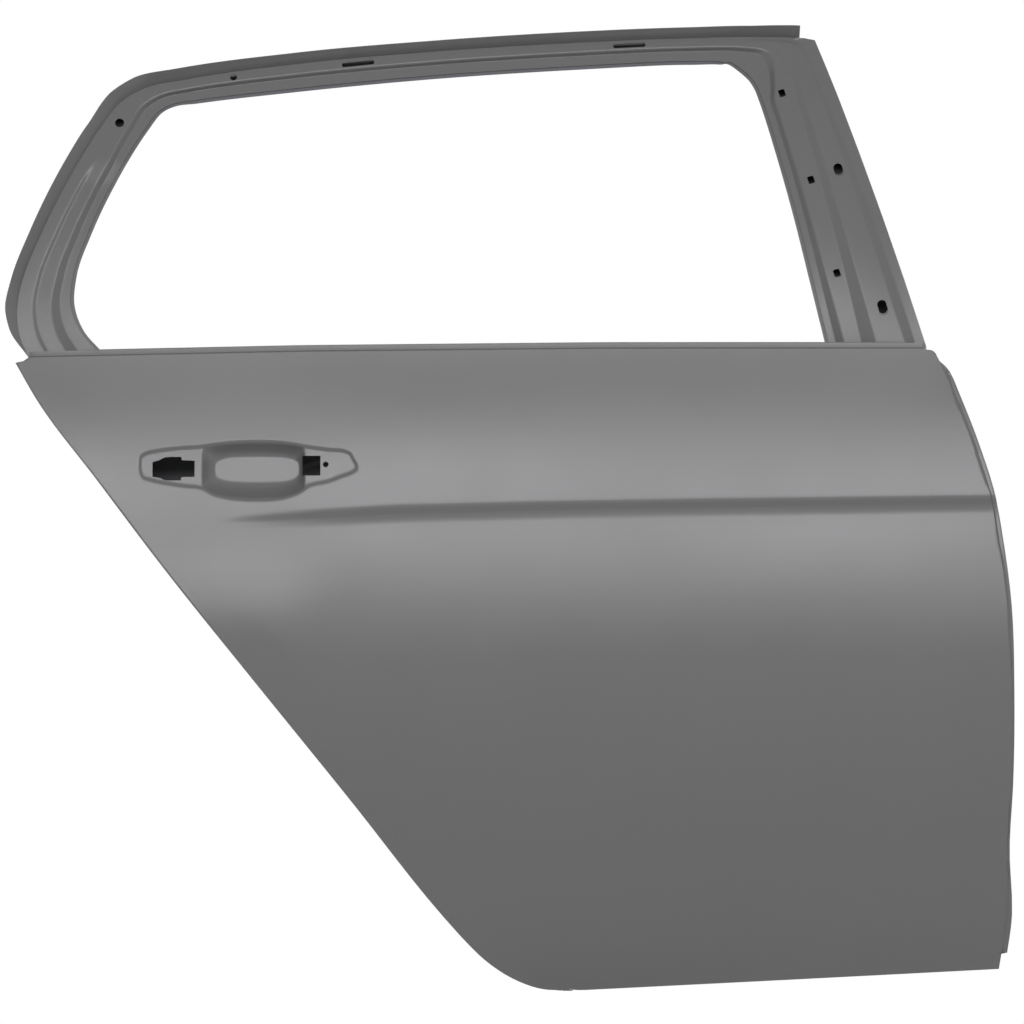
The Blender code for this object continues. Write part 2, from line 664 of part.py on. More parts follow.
def hem_set_in(x, z):
    """How far the hem's fold is set in: all along the front, rising towards it on the bottom."""
    along = ease((x - notch[0][0] + JOGGLE_RAMP) / JOGGLE_RAMP)
    front = (x > DOOR_LENGTH / 2) & (z > notch[1][1])
    return JOGGLE * np.where(front, 1.0, along)


def skin_at(points):
    """Plan points on the skin's outer face, the front band set in."""
    points = np.asarray(points, float)
    return on_skin(points, joggled(points[:, 0], points[:, 1]))


face_line = face_edge[1:]
band_edge = face_edge[1:-1].copy()
band_wide = edge_x(front_edge, band_edge[:, 1]) - band_edge[:, 0]
band_edge[:, 0] += BAND_RAMP_SHARE * band_wide

handle_rim = smooth_loop(on_handle(HANDLE_OUTLINE_SHARES), 48)
handle_bend = inset(handle_rim, LEDGE_EDGE / 3, closed=True)
handle_ledge = inset(handle_rim, LEDGE_EDGE, closed=True)
upper_ledge = handle_ledge[handle_ledge[:, 1] > handle_rim[:, 1].mean()]
lower_ledge = handle_ledge[handle_ledge[:, 1] <= handle_rim[:, 1].mean()]
handle_size = np.array((HANDLE_LENGTH, HANDLE_HEIGHT))
cup_middle = on_handle(CUP_MIDDLE_SHARES)
cup_rim = rounded(cup_middle, *(handle_size * CUP_SIZE_SHARES), CUP_POWER, CUP_SIDES)
cup_rim[:, 1] = np.clip(
    cup_rim[:, 1],
    height_of(lower_ledge, cup_rim[:, 0]) + CUP_EDGE,
    height_of(upper_ledge, cup_rim[:, 0]) - CUP_EDGE,
)
cup_floor = rounded(
    on_handle(CUP_FLOOR_MIDDLE_SHARES), *(handle_size * CUP_FLOOR_SIZE_SHARES), FLOOR_POWER, CUP_SIDES
)
floor_depth = float(skin_y(*cup_middle)) + CUP_DEPTH
cup_rings = [on_skin(cup_rim, LEDGE_DEPTH)]
for toward, sunk in CUP_WALL_SHARES:
    ring = cup_rim + (cup_floor - cup_rim) * toward
    rim_depth = cup_rings[0][:, 1]
    cup_rings.append(raised(ring, rim_depth + (floor_depth - rim_depth) * sunk))
key_hole = on_handle(KEY_HOLE_MIDDLE_SHARES) + np.array(KEY_HOLE_OUTLINE_SHARES) * (
    handle_size * KEY_HOLE_SIZE_SHARES
)
pull_hole = rounded(
    on_handle(PULL_HOLE_MIDDLE_SHARES),
    *(handle_size * PULL_HOLE_SIZE_SHARES),
    PULL_HOLE_POWER,
    PULL_HOLE_SIDES,
)
screw_hole = circle(*on_handle(SCREW_HOLE_MIDDLE_SHARES), SCREW_HOLE)


def inside_loop(points, loop):
    """Which plan points lie inside a closed line."""
    x, z = points[:, 0][:, None], points[:, 1][:, None]
    x0, z0 = loop[:, 0], loop[:, 1]
    x1, z1 = np.roll(x0, -1), np.roll(z0, -1)
    crosses = (z0 > z) != (z1 > z)
    rise = np.where(z1 == z0, 1.0, z1 - z0)
    return (crosses & (x < (x1 - x0) * (z - z0) / rise + x0)).sum(axis=1) % 2 == 1


def away_from(points, line, distance):
    """Which plan points keep a distance from every point of a line."""
    gaps = np.linalg.norm(points[:, None] - line[None], axis=2)
    return gaps.min(axis=1) > distance


column_count = round(DOOR_LENGTH / SKIN_SPACING)
columns = np.linspace(SKIN_SPACING / 2, DOOR_LENGTH - SKIN_SPACING / 2, column_count)
crease_x = np.linspace(*CREASE_SPAN_SHARES, 28) * DOOR_LENGTH
crease_line = np.stack([crease_x, line_z(CREASE_LINE_SHARES, crease_x)], axis=1)
crease_foot = crease_line - (0.0, CREASE_EDGE)
crease_z = line_z(CREASE_LINE_SHARES, columns)
belt_above = line_z(BELT_LINE_SHARES, columns) - crease_z
field = [np.stack([columns, crease_z + belt_above * share], axis=1) for share in FIELD_RISE_SHARES]
for share in FIELD_FALL_SHARES:
    field.append(np.stack([columns, crease_z - CREASE_EDGE - CREASE_BLEND * share], axis=1))
field = np.concatenate(field)
skin_outline = np.concatenate([hem_line, belt_line, sized(HORN_SHARES)])
margin = SKIN_SPACING * FIELD_MARGIN_SHARE
field = field[inside_loop(field, skin_outline)]
field = field[~inside_loop(field, handle_rim)]
for line in (spaced(skin_outline, 260), handle_rim, face_line, crease_line, crease_foot):
    field = field[away_from(field, line, margin)]

flange_field = inset(hem_line, FLANGE_WIDTH)
flange_field = flange_field[away_from(flange_field, face_line, LEDGE_EDGE)]
flange_field = flange_field[away_from(flange_field, crease_line, LEDGE_EDGE)]
flange_field = flange_field[away_from(flange_field, crease_foot, LEDGE_EDGE)]
field = field[away_from(field, flange_field, margin)]
rim_handle = on_skin(handle_rim)
skin_vertices, skin_faces, place = pressed(
    skin_at(skin_outline),
    holes=[on_skin(loop, LEDGE_DEPTH) for loop in (key_hole, pull_hole, screw_hole)],
    lines=[
        on_skin(face_line),
        skin_at(band_edge),
        on_skin(crease_line),
        on_skin(crease_foot),
        np.concatenate([rim_handle, rim_handle[:1]]),
        *(
            np.concatenate([ring, ring[:1]])
            for ring in (
                on_skin(handle_bend, LEDGE_DEPTH / 2),
                on_skin(handle_ledge, LEDGE_DEPTH),
                *cup_rings,
            )
        ),
    ],
    points=[on_skin(field), on_skin(flange_field)],
)
hem_first = [place[k] for k in range(len(hem_line))]
fold = on_skin(hem_line, HEM_DEPTH + hem_set_in(*hem_line.T))
return_plan = inset(hem_line, HEM_RETURN)
upright = (hem_line[:, 0] > HINGE_WALL) & (hem_line[:, 1] > notch[1][1] + 3 * HEM_RETURN)
return_plan[upright] = hem_line[upright] - (HEM_RETURN, 0.0)
hem_return = on_skin(return_plan, HEM_DEPTH + hem_set_in(*hem_line.T))
skirt(skin_vertices, skin_faces, hem_first, [fold, hem_return])
belt_first = [place[len(hem_line) + k] for k in range(len(belt_line))]
belt_bend = on_skin(belt_line, BELT_SET_IN)
belt_bend[:, 2] += BELT_RADIUS
belt_flange = belt_bend + (0.0, 0.0, BELT_FLANGE - BELT_RADIUS)
skirt(skin_vertices, skin_faces, belt_first, [belt_bend, belt_flange])
sheet("outer_skin", skin_vertices, skin_faces, SKIN_SHEET, primer)

# Window frame: matched stations with the section lines between root and glass edge
frame_table = np.concatenate([sized(FRAME_ROOT_SHARES), sized(FRAME_EDGE_SHARES)], axis=1)
frame_travel = travel(frame_table)
frame_at = np.linspace(0.0, 1.0, FRAME_STATIONS) * frame_travel[-1]
corner_at = frame_travel[FRAME_CORNER]
frame_at[np.argmin(np.abs(frame_at - corner_at))] = corner_at
frame_lines = cubic(frame_table, frame_travel, frame_at)
past = frame_at > frame_travel[FRAME_CORNER - 1]
for column in (0, 1):
    straight = np.interp(frame_at, frame_travel, frame_table[:, column])
    frame_lines[past, column] = straight[past]
station_number = np.interp(frame_at, frame_travel, np.arange(len(frame_travel)))
rear_leg = np.concatenate([sized(REAR_LEG_ROOT_SHARES), sized(REAR_LEG_EDGE_SHARES)], axis=1)
front_leg = np.concatenate([sized(FRONT_LEG_ROOT_SHARES), sized(FRONT_LEG_EDGE_SHARES)], axis=1)
frame_lines = np.concatenate([rear_leg, frame_lines, front_leg])
section_numbers = np.concatenate(
    [np.zeros(len(rear_leg)), station_number, np.full(len(front_leg), station_number[-1])]
)
frame_root, frame_edge = frame_lines[:, :2], frame_lines[:, 2:]
frame_width = np.linalg.norm(frame_edge - frame_root, axis=1)


def along_frame(values):
    """A value given at the section stations, at every station of the loft."""
    return np.interp(section_numbers, SECTION_STATIONS, values)


bead = along_frame(BEAD_FADE_SHARES)
post = along_frame(POST_FADE_SHARES)
belt_here = line_z(BELT_LINE_SHARES, frame_root[:, 0])
post_low = ease((frame_root[:, 1] - belt_here + OUTER_RAIL_DROP / 4) / (OUTER_RAIL_DROP / 4))
post_rise = 1.0 - np.clip((frame_root[:, 1] - belt_here) / (DOOR_HEIGHT - belt_here), 0.0, 1.0)
post_raise = post * post_low * (POST_RAISE_TOP + (POST_RAISE_FOOT - POST_RAISE_TOP) * post_rise)
level_root = -post_raise + post * post_low * POST_FLANGE_DROP
level_outer = bead * REAR_BEAD - post_raise
level_inner = bead * REAR_BEAD
level_flange = level_inner + MAIN_STEP


def frame_point(share, level, beyond=0.0):
    """A row of the frame: a share of the way from root to edge, at a level behind its face."""
    share = np.broadcast_to(share, (len(frame_root),))[:, None]
    plan = frame_root + (frame_edge - frame_root) * share
    plan = plan + (frame_edge - frame_root) / frame_width[:, None] * beyond
    return raised(plan, frame_y(plan[:, 1]) + level)


a0, a1, b0, b1, c0, c1 = (along_frame(column) for column in zip(*SECTION_LINE_SHARES))
frame_rows = [
    frame_point(0.0, level_root),
    frame_point(a0, level_root),
    frame_point(a1, level_outer),
    frame_point(b0, level_outer),
    frame_point(b1, level_inner),
    frame_point(c0, level_inner),
    frame_point(c1, level_flange),
    frame_point(1.0, level_flange),
]
lip_stations = np.arange(len(LIP_SHARES))
lip_vectors = sized(LIP_SHARES) - sized(FRAME_ROOT_SHARES)[: len(LIP_SHARES)]
lip_count = int(np.sum(station_number <= lip_stations[-1]))
lip_at = station_number[:lip_count]
lip_out = np.stack([np.interp(lip_at, lip_stations, lip_vectors[:, k]) for k in (0, 1)], axis=1)
lip_fade = np.interp(lip_at, np.arange(len(LIP_FADE_SHARES)), LIP_FADE_SHARES)
first = len(rear_leg)
lip_root = frame_root[first : first + lip_count]
lip_rows = []
for share in LIP_ROW_SHARES:
    plan = lip_root + lip_out * share
    lip_rows.append(raised(plan, frame_y(lip_root[:, 1]) - LIP_RISE * lip_fade * share**LIP_POWER))
frame_vertices, frame_faces = grid(frame_rows)
skirt(frame_vertices, frame_faces, list(range(first, first + lip_count)), lip_rows)
frame_outer = sheet("window_frame_outer", frame_vertices, frame_faces, FRAME_SHEET, primer)

frame_holes = [
    *(
        (shares, slot_outline(size, size), 0)
        for shares, size in zip(ROUND_HOLE_SHARES, ROUND_HOLES)
    ),
    *(
        (shares, slot_outline(HEADER_SLOT_LENGTH, HEADER_SLOT_WIDTH), tilt)
        for shares, tilt in zip(HEADER_SLOT_SHARES, HEADER_SLOT_TILTS)
    ),
    *(
        (shares, slot_outline(length, POST_SLOT_WIDTH), tilt)
        for shares, length, tilt in zip(POST_SLOT_SHARES, POST_SLOT_LENGTHS, POST_SLOT_TILTS)
    ),
    *(
        (shares, box_outline(CLIP_HOLE * CLIP_WIDTH_SHARE, CLIP_HOLE), CLIP_TILT)
        for shares in CLIP_HOLE_SHARES
    ),
]
hole_tools = []
for number, (shares, outline, tilt) in enumerate(frame_holes):
    x, z = sized(shares)
    turn = math.radians(tilt)
    axes = (math.cos(turn), 0.0, math.sin(turn)), (-math.sin(turn), 0.0, math.cos(turn))
    place = x, float(frame_y(z)), z
    hole_tools.append(cutter(f"frame_hole_{number}", outline, place, *axes, FRAME_BOX / 2))
cut(frame_outer, hole_tools)

# Inner frame stamping: closes the box, and its feet flare out to the inner panel
behind = FRAME_SHEET + 2 * CLEARANCE
foot_blend = 1.0 - ease((frame_root[:, 1] - belt_here) / LEG_BLEND)
seat_depth = INNER_DEPTH - CLEARANCE


def box_back(plan):
    """Depth of the frame box's back at a row."""
    own = frame_y(plan[:, 1]) + FRAME_BOX
    return own + (seat_depth - own) * foot_blend


def inner_plan(distance):
    """A row of the inner stamping at a distance from the root, or from the edge if negative."""
    base = frame_root if distance >= 0 else frame_edge
    return base + frame_reach * distance


frame_reach = (frame_edge - frame_root) / frame_width[:, None]
flange_foot = BOX_FLANGE * FLANGE_FOOT_SHARE
inner_rows = []
for plan, level in (
    (inner_plan(BELT_RADIUS), level_root),
    (inner_plan(flange_foot), level_root),
    (inner_plan(flange_foot + BOX_WALL), None),
    (inner_plan(-BOX_FLANGE - BOX_WALL), None),
    (inner_plan(-BOX_FLANGE * GLASS_FLANGE_SHARE), level_flange),
    (frame_edge + frame_reach * GLASS_FLANGE, level_flange),
):
    depth = box_back(plan) if level is None else frame_y(plan[:, 1]) + level + behind
    inner_rows.append(raised(plan, depth))
sheet("window_frame_inner", *grid(inner_rows), FRAME_SHEET, primer_inner)

# Front post reinforcement: a strip seated behind the raised strip of the front post
post_from = int(np.argmax(section_numbers >= POST_STATION))
strip_rows = []
for share in (STRIP_EDGE_SHARE, 1.0 - STRIP_EDGE_SHARE):
    row = frame_point(a1 + (b0 - a1) * share, level_outer + behind + CLEARANCE)
    strip_rows.append(row[post_from:-1])
sheet("front_post_reinforcement", *grid(strip_rows), RAIL_SHEET, steel)

# Inner panel: rows from the hemmed flange over the seal ledge and walls to the inner face
panel_insets = (SKIN_SHEET + 3 * HEM_GAP, FLANGE_WIDTH, LEDGE_START, LEDGE_END, WALL_END)
lower_line = np.concatenate([rear_edge, bottom_edge[1:]])
relief = WALL_END / 3
panel_end = FRONT_END_SHARE * DOOR_HEIGHT
front_from = notch[2][1] + WALL_END + 2 * relief
front_heights = front_edge[:, 1]
front_heights = front_heights[front_heights > front_from]
front_heights = front_heights[front_heights < panel_end - relief]
front_heights = np.append(front_heights, panel_end)


def front_wall_x(z, row):
    """Where each row of the front side stands: flange edge, then the hinge wall."""
    outer = edge_x(front_edge, z)
    wall = np.minimum(HINGE_WALL - INNER_SHEET, outer - HINGE_INSET)
    return (outer - panel_insets[0], wall, wall, wall, wall - WALL_RADIUS)[row]


deepest = inset(lower_line, WALL_END)
rear_top = REAR_END_SHARE * DOOR_HEIGHT
low_from = int(np.argmax(deepest[:, 1] < rear_top - WALL_END / 2))
low_to = int(np.argmax(deepest[:, 0] > HINGE_WALL - WALL_END - relief))


def panel_row(row, distance):
    """One row of the panel's edge in plan, matched point for point with the others."""
    line = inset(lower_line, distance)
    top_x = np.interp(-rear_top, -line[:, 1], line[:, 0])
    corner = front_wall_x(notch[2][1] + distance, row) - 2 * relief, notch[0][1] + distance
    base = notch[2][1] + distance + relief
    heights = np.concatenate([[base, (base + front_heights[0]) / 2], front_heights])
    front = np.stack([front_wall_x(heights, row), heights], axis=1)
    line = line[low_from:low_to]
    lead = np.linspace(line[-1], corner, 5)[1:]
    turn = np.linspace(corner, front[0], 4)[1:-1]
    return np.concatenate([[(top_x, rear_top)], line, lead, turn, front])


REAR_ROW = low_to - low_from + 5
lowest = panel_row(0, panel_insets[0])
seat_set_in = np.full(len(lowest), JOGGLE)
seat_set_in[:REAR_ROW] = hem_set_in(*lowest[:REAR_ROW].T)
panel_rows = []
for row, distance in enumerate(panel_insets):
    plan = panel_row(row, distance)
    seat = skin_y(plan[:, 0], plan[:, 1]) + seat_set_in + SKIN_SHEET + HEM_GAP
    flat = np.full(len(plan), LEDGE_LEVEL)
    if row == 2:
        clear = seat[REAR_ROW:] + WALL_RADIUS
        flat[REAR_ROW:] = np.maximum(LEDGE_LEVEL - SEAT_DEPTH / 4, clear)
    if row == 3:
        flat[REAR_ROW:] = INNER_DEPTH - 2 * WALL_RADIUS
    depth = seat if row < 2 else flat if row < 4 else np.full(len(plan), INNER_DEPTH)
    panel_rows.append(raised(plan, depth))
panel_vertices, panel_faces = grid(panel_rows)

panel_top = line_z(BELT_LINE_SHARES, DOOR_LENGTH / 2) - PANEL_TOP_GAP
last_row = panel_rows[-1]
front_x, turn_x, back_x = (share * DOOR_LENGTH for share in PANEL_TOP_SHARES)
front_corner = (front_x, (last_row[-1, 2] + panel_top) / 2)
top_line = spaced(np.array([(turn_x, panel_top), (back_x, panel_top)]), 14)
top_line = np.concatenate([[front_corner], top_line, [sized(PANEL_REAR_CORNER_SHARES)]])
access = smooth_loop(sized(ACCESS_SHARES), 56)
land_outer = inset(access, -(LAND_WIDTH + LAND_SLOPE), closed=True)
land_inner = inset(access, -LAND_WIDTH, closed=True)
land_middle = smooth_loop(inset(access, -LAND_WIDTH / 2, closed=True), CARRIER_BOLTS)
land_level = INNER_DEPTH - LAND_DEPTH
panel_holes = [raised(circle(x, z, BOLT_HOLE), land_level) for x, z in land_middle]
for shares, diameter in ((CLIP_ROW_SHARES, CLIP_HOLE), (LOWER_HOLE_SHARES, GROMMET_HOLE)):
    panel_holes += [raised(circle(x, z, diameter), INNER_DEPTH) for x, z in sized(shares)]
cap_outer = np.concatenate([last_row, raised(top_line, INNER_DEPTH)])
cap_vertices, cap_faces, cap_place = pressed(
    cap_outer,
    holes=[raised(access, land_level), *panel_holes],
    lines=[
        np.concatenate([ring, ring[:1]])
        for ring in (raised(land_outer, INNER_DEPTH), raised(land_inner, land_level))
    ],
)
start = len(panel_vertices)
joined = {cap_place[k]: start - len(last_row) + k for k in range(len(last_row))}
for index, vertex in enumerate(cap_vertices):
    if index not in joined:
        joined[index] = len(panel_vertices)
        panel_vertices.append(vertex)
panel_faces += [tuple(joined[k] for k in face) for face in cap_faces]


def pierced(vertices, faces, low, high, rings, spot, across, up):
    """A stretch between two rows of a grid made again with holes, given about a spot."""
    spot, across, up = Vector(spot), Vector(across), Vector(up)
    out = up.cross(across)
    border = [*low, *reversed(high)]
    seen = [Vector(vertices[k]) - spot for k in border]
    edge = [(p.dot(across), p.dot(out), p.dot(up)) for p in seen]
    flat, triangles, at = pressed(edge, [raised(ring, 0.0) for ring in rings])
    named = {at[k]: index for k, index in enumerate(border)}
    for index, (a, n, b) in enumerate(flat):
        if index not in named:
            named[index] = len(vertices)
            vertices.append(tuple(spot + across * a + out * n + up * b))
    gone = set(zip(low[:-1], low[1:]))
    kept = [face for face in faces if (face[0], face[1]) not in gone]
    return kept + [tuple(named[k] for k in face) for face in triangles]


# Holes in the hinge wall
columns_each = len(panel_rows[0])
wall_spot = (HINGE_WALL - INNER_SHEET, SEAT_DEPTH, 0.0)
wall_axes = (0.0, 0.0, 1.0), (0.0, 1.0, 0.0)
bolt_steps = (-HINGE_BOLT_PITCH / 2, HINGE_BOLT_PITCH / 2)
check_steps = (-CHECK_BOLT_PITCH / 2, CHECK_BOLT_PITCH / 2)
check_slot = box_outline(CHECK_SLOT_HEIGHT, CHECK_SLOT_WIDTH)
wall_rings = [
    circle(height + step, 0.0, HINGE_BOLT_HOLE)
    for height in (UPPER_SEAT_HEIGHT, LOWER_SEAT_HEIGHT)
    for step in bolt_steps
]
wall_rings += [circle(CHECK_HEIGHT + step, 0.0, CHECK_BOLT_HOLE) for step in check_steps]
wall_rings.append(check_slot + (CHECK_HEIGHT, 0.0))
wall_rings.append(circle(GROMMET_HEIGHT, 0.0, GROMMET_HOLE, CIRCLE_SIDES))
wall_top = UPPER_SEAT_HEIGHT + HINGE_PLATE_HEIGHT / 2
wall_start = columns_each - len(front_heights) - 2
wall_end = wall_start + int(np.argmax(panel_rows[2][wall_start:, 2] > wall_top)) + 1
wall_low = [2 * columns_each + k for k in range(wall_start, wall_end)]
wall_high = [3 * columns_each + k for k in range(wall_start, wall_end)]
panel_faces = pierced(
    panel_vertices, panel_faces, wall_low, wall_high, wall_rings, wall_spot, *wall_axes
)

# Latch opening in the slanted rear wall
latch_z = LATCH_SHARE * DOOR_HEIGHT
slope_low, slope_high = panel_rows[3], panel_rows[4]
nearest = int(np.argmin(np.abs(slope_low[:REAR_ROW, 2] - latch_z)))
latch_along = Vector(slope_low[nearest + 1] - slope_low[nearest - 1]).normalized()
latch_up = Vector(slope_high[nearest] - slope_low[nearest]).normalized()
latch_up = (latch_up - latch_along * latch_up.dot(latch_along)).normalized()
latch_out = latch_along.cross(latch_up)
latch_spot = Vector((slope_low[nearest] + slope_high[nearest]) / 2)
latch_hole = rounded(
    (0.0, 0.0), LATCH_HOLE_LENGTH, LATCH_HOLE_WIDTH, LATCH_HOLE_POWER, LATCH_SIDES
)
latch_columns = range(nearest - 2, nearest + 3)
panel_faces = pierced(
    panel_vertices,
    panel_faces,
    [3 * columns_each + k for k in latch_columns],
    [4 * columns_each + k for k in latch_columns],
    [latch_hole],
    latch_spot,
    latch_along,
    latch_up,
)
sheet("inner_panel", panel_vertices, panel_faces, INNER_SHEET, primer_inner)

# Hinge, check strap and latch reinforcements on the cavity side of the walls
wall_back = HINGE_WALL - INNER_SHEET - CLEARANCE
plate_axes = (0.0, 1.0, 0.0), (0.0, 0.0, 1.0)
plate_back = wall_back - PLATE_SHEET - CLEARANCE
for label, height in (("upper", UPPER_SEAT_HEIGHT), ("lower", LOWER_SEAT_HEIGHT)):
    holes = [circle(0.0, step, HINGE_BOLT_HOLE) for step in bolt_steps]
    plate(
        f"hinge_reinforcement_{label}", box_outline(HINGE_PLATE_WIDTH, HINGE_PLATE_HEIGHT), holes,
        (wall_back, SEAT_DEPTH, height), *plate_axes, PLATE_SHEET, steel,
    )
    plate(
        f"hinge_tapping_plate_{label}", box_outline(TAPPING_WIDTH, TAPPING_HEIGHT), holes,
        (plate_back, SEAT_DEPTH, height), *plate_axes, TAPPING_THICKNESS, zinc,
    )
plate(
    "check_strap_reinforcement", box_outline(CHECK_PLATE_WIDTH, CHECK_PLATE_HEIGHT),
    [check_slot[:, ::-1], *(circle(0.0, step, CHECK_BOLT_HOLE) for step in check_steps)],
    (wall_back, SEAT_DEPTH, CHECK_HEIGHT), *plate_axes, PLATE_SHEET, steel,
)
plate(
    "latch_reinforcement", box_outline(LATCH_PLATE_LENGTH, LATCH_PLATE_WIDTH), [latch_hole],
    latch_spot + latch_out * (LATCH_PLATE_CLEAR + PLATE_SHEET), latch_along, latch_up,
    PLATE_SHEET, steel,
)

# Handle reinforcement: a pressed ring that follows the skin round the recess
handle_outer = smooth_loop(inset(handle_rim, -HANDLE_PLATE_MARGIN, closed=True), 40)
handle_inner = inset(handle_rim, -HANDLE_PLATE_CLEAR, closed=True)
ring_depth = SKIN_SHEET + CLEARANCE
ring_vertices, ring_faces, _ = pressed(
    on_skin(handle_outer, ring_depth), holes=[on_skin(handle_inner, ring_depth)]
)
sheet("handle_reinforcement", ring_vertices, ring_faces, RAIL_SHEET, steel)

# Belt rails
rail_x = np.linspace(*OUTER_RAIL_SPAN_SHARES, 24) * DOOR_LENGTH
belt_z = line_z(BELT_LINE_SHARES, rail_x)
flange_y = skin_y(rail_x, belt_z) + BELT_SET_IN + SKIN_SHEET + CLEARANCE
bond_depth = SKIN_SHEET + CLEARANCE


def rail_row(heights, depths):
    """One row of a rail along the belt."""
    return np.stack([rail_x, depths, heights], axis=1)


deep_z = belt_z - RAIL_LIP
low_z = belt_z - OUTER_RAIL_DROP + RAIL_LIP + RAIL_SLOPE
bond_z = belt_z - OUTER_RAIL_DROP + RAIL_LIP
end_z = belt_z - OUTER_RAIL_DROP
outer_rail = [
    rail_row(end_z, skin_y(rail_x, end_z) + bond_depth),
    rail_row(bond_z, skin_y(rail_x, bond_z) + bond_depth),
    rail_row(low_z, skin_y(rail_x, low_z) + bond_depth + OUTER_RAIL_CHANNEL),
    rail_row(deep_z, flange_y + OUTER_RAIL_CHANNEL / 2),
    rail_row(belt_z - RAIL_LIP / 4, flange_y),
    rail_row(belt_z + BELT_FLANGE + OUTER_RAIL_RISE, flange_y),
]
sheet("belt_rail_outer", *grid(outer_rail), RAIL_SHEET, primer_inner)

rail_x = np.linspace(*INNER_RAIL_SPAN_SHARES, 12) * DOOR_LENGTH
rail_seat = INNER_DEPTH - CLEARANCE - RAIL_SHEET
inner_top = panel_top - CLEARANCE
inner_rail = []
for drop, set_out in (
    (INNER_RAIL_DROP, 0.0),
    (INNER_RAIL_DROP - RAIL_LIP, 0.0),
    (INNER_RAIL_DROP - RAIL_LIP - RAIL_SLOPE, INNER_RAIL_CHANNEL),
    (RAIL_LIP + RAIL_SLOPE, INNER_RAIL_CHANNEL),
    (RAIL_LIP, 0.0),
    (0.0, 0.0),
):
    level = np.ones(len(rail_x))
    inner_rail.append(rail_row((inner_top - drop) * level, (rail_seat - set_out) * level))
sheet("belt_rail_inner", *grid(inner_rail), RAIL_SHEET, steel)

# Impact beam with its brackets, and the mastic pads between beam and skin
bracket_face = LEDGE_LEVEL - CLEARANCE - PLATE_SHEET
beam_depth = bracket_face - CLEARANCE - BEAM_RADIUS
beam_rear_x, beam_rear_z = sized(BEAM_REAR_SHARES)


def beam_z(x):
    """Height of the beam's axis at x."""
    share = (x - beam_rear_x) / (BEAM_FRONT_X - beam_rear_x)
    return beam_rear_z + (BEAM_FRONT_HEIGHT_SHARE * DOOR_HEIGHT - beam_rear_z) * share


beam_start = Vector((beam_rear_x, beam_depth, beam_z(beam_rear_x)))
beam_end = Vector((BEAM_FRONT_X, beam_depth, beam_z(BEAM_FRONT_X)))
beam_axis = (beam_end - beam_start).normalized()
beam_side = beam_axis.cross(Vector((0.0, 1.0, 0.0))).normalized()
beam_rings = []
for centre in (beam_start, beam_end):
    ring = []
    for k in range(BEAM_SIDES):
        turn = 2.0 * math.pi * k / BEAM_SIDES
        ring.append(
            centre
            + beam_side * (BEAM_RADIUS * math.cos(turn))
            + Vector((0.0, BEAM_RADIUS * math.sin(turn), 0.0))
        )
    beam_rings.append(ring)
tube_vertices, tube_faces = grid(beam_rings, closed=True)
sheet("impact_beam", tube_vertices, [face[::-1] for face in tube_faces], BEAM_WALL, steel)

slope_inset = inset(lower_line, LEDGE_START + BOX_WALL)


def slope_point(z):
    """A point on the line of the seal ledge along the rear slope."""
    x, rise = slope_inset[:REAR_EDGE_POINTS].T
    return np.array([np.interp(-z, -rise, x), z])


lap_x = beam_rear_x + BRACKET_LAP
half = BRACKET_HEIGHT / 2
rear_bracket = np.array([
    slope_point(beam_rear_z + half),
    slope_point(beam_rear_z - half),
    (lap_x, beam_z(lap_x) - half / 2),
    (lap_x, beam_z(lap_x) + half / 2),
])
plate(
    "beam_bracket_rear", rear_bracket, [], (0.0, bracket_face, 0.0),
    (1.0, 0.0, 0.0), (0.0, 0.0, 1.0), PLATE_SHEET, steel,
)
front_lap = BEAM_FRONT_X - BRACKET_LAP
front_x = wall_back - PLATE_SHEET
front_mid = float(beam_z(BEAM_FRONT_X))
bracket_rows = []
for x, depth, reach in (
    (front_lap, bracket_face, half / 2),
    (BEAM_FRONT_X, bracket_face, half),
    (front_x, bracket_face, half),
    (front_x, bracket_face + BRACKET_FLANGE, half),
):
    middle = float(beam_z(x)) if x < BEAM_FRONT_X else front_mid
    bracket_rows.append([(x, depth, middle + reach), (x, depth, middle - reach)])
sheet("beam_bracket_front", *grid(bracket_rows), PLATE_SHEET, steel)

for number, share in enumerate(PAD_SHARES):
    x = beam_rear_x + (BEAM_FRONT_X - beam_rear_x) * share
    steps = np.linspace(-PAD_LENGTH / 2, PAD_LENGTH / 2, 4)
    rows = []
    for up in (-PAD_HEIGHT / 2, PAD_HEIGHT / 2):
        px = x + steps
        pz = beam_z(px) + up
        rows.append(np.stack([px, skin_y(px, pz) + SKIN_SHEET + CLEARANCE, pz], axis=1))
    thinnest = beam_depth - BEAM_RADIUS - CLEARANCE - max(row[:, 1].max() for row in rows)
    sheet(f"flutter_pad_{number + 1}", *grid(rows), thinnest, mastic)

# Weld nuts of the door carrier
hexagon = circle(0.0, 0.0, NUT_ACROSS / math.cos(math.pi / 6), 6)
nut_face = land_level - CLEARANCE - NUT_HEIGHT
for number, (x, z) in enumerate(land_middle):
    plate(
        f"carrier_weld_nut_{number + 1}", hexagon, [circle(0.0, 0.0, NUT_BORE)],
        (float(x), nut_face, float(z)), (1.0, 0.0, 0.0), (0.0, 0.0, 1.0), NUT_HEIGHT, zinc,
    )
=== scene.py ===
"""Looks of a bare primed rear door shell of a compact car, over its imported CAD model."""

import math

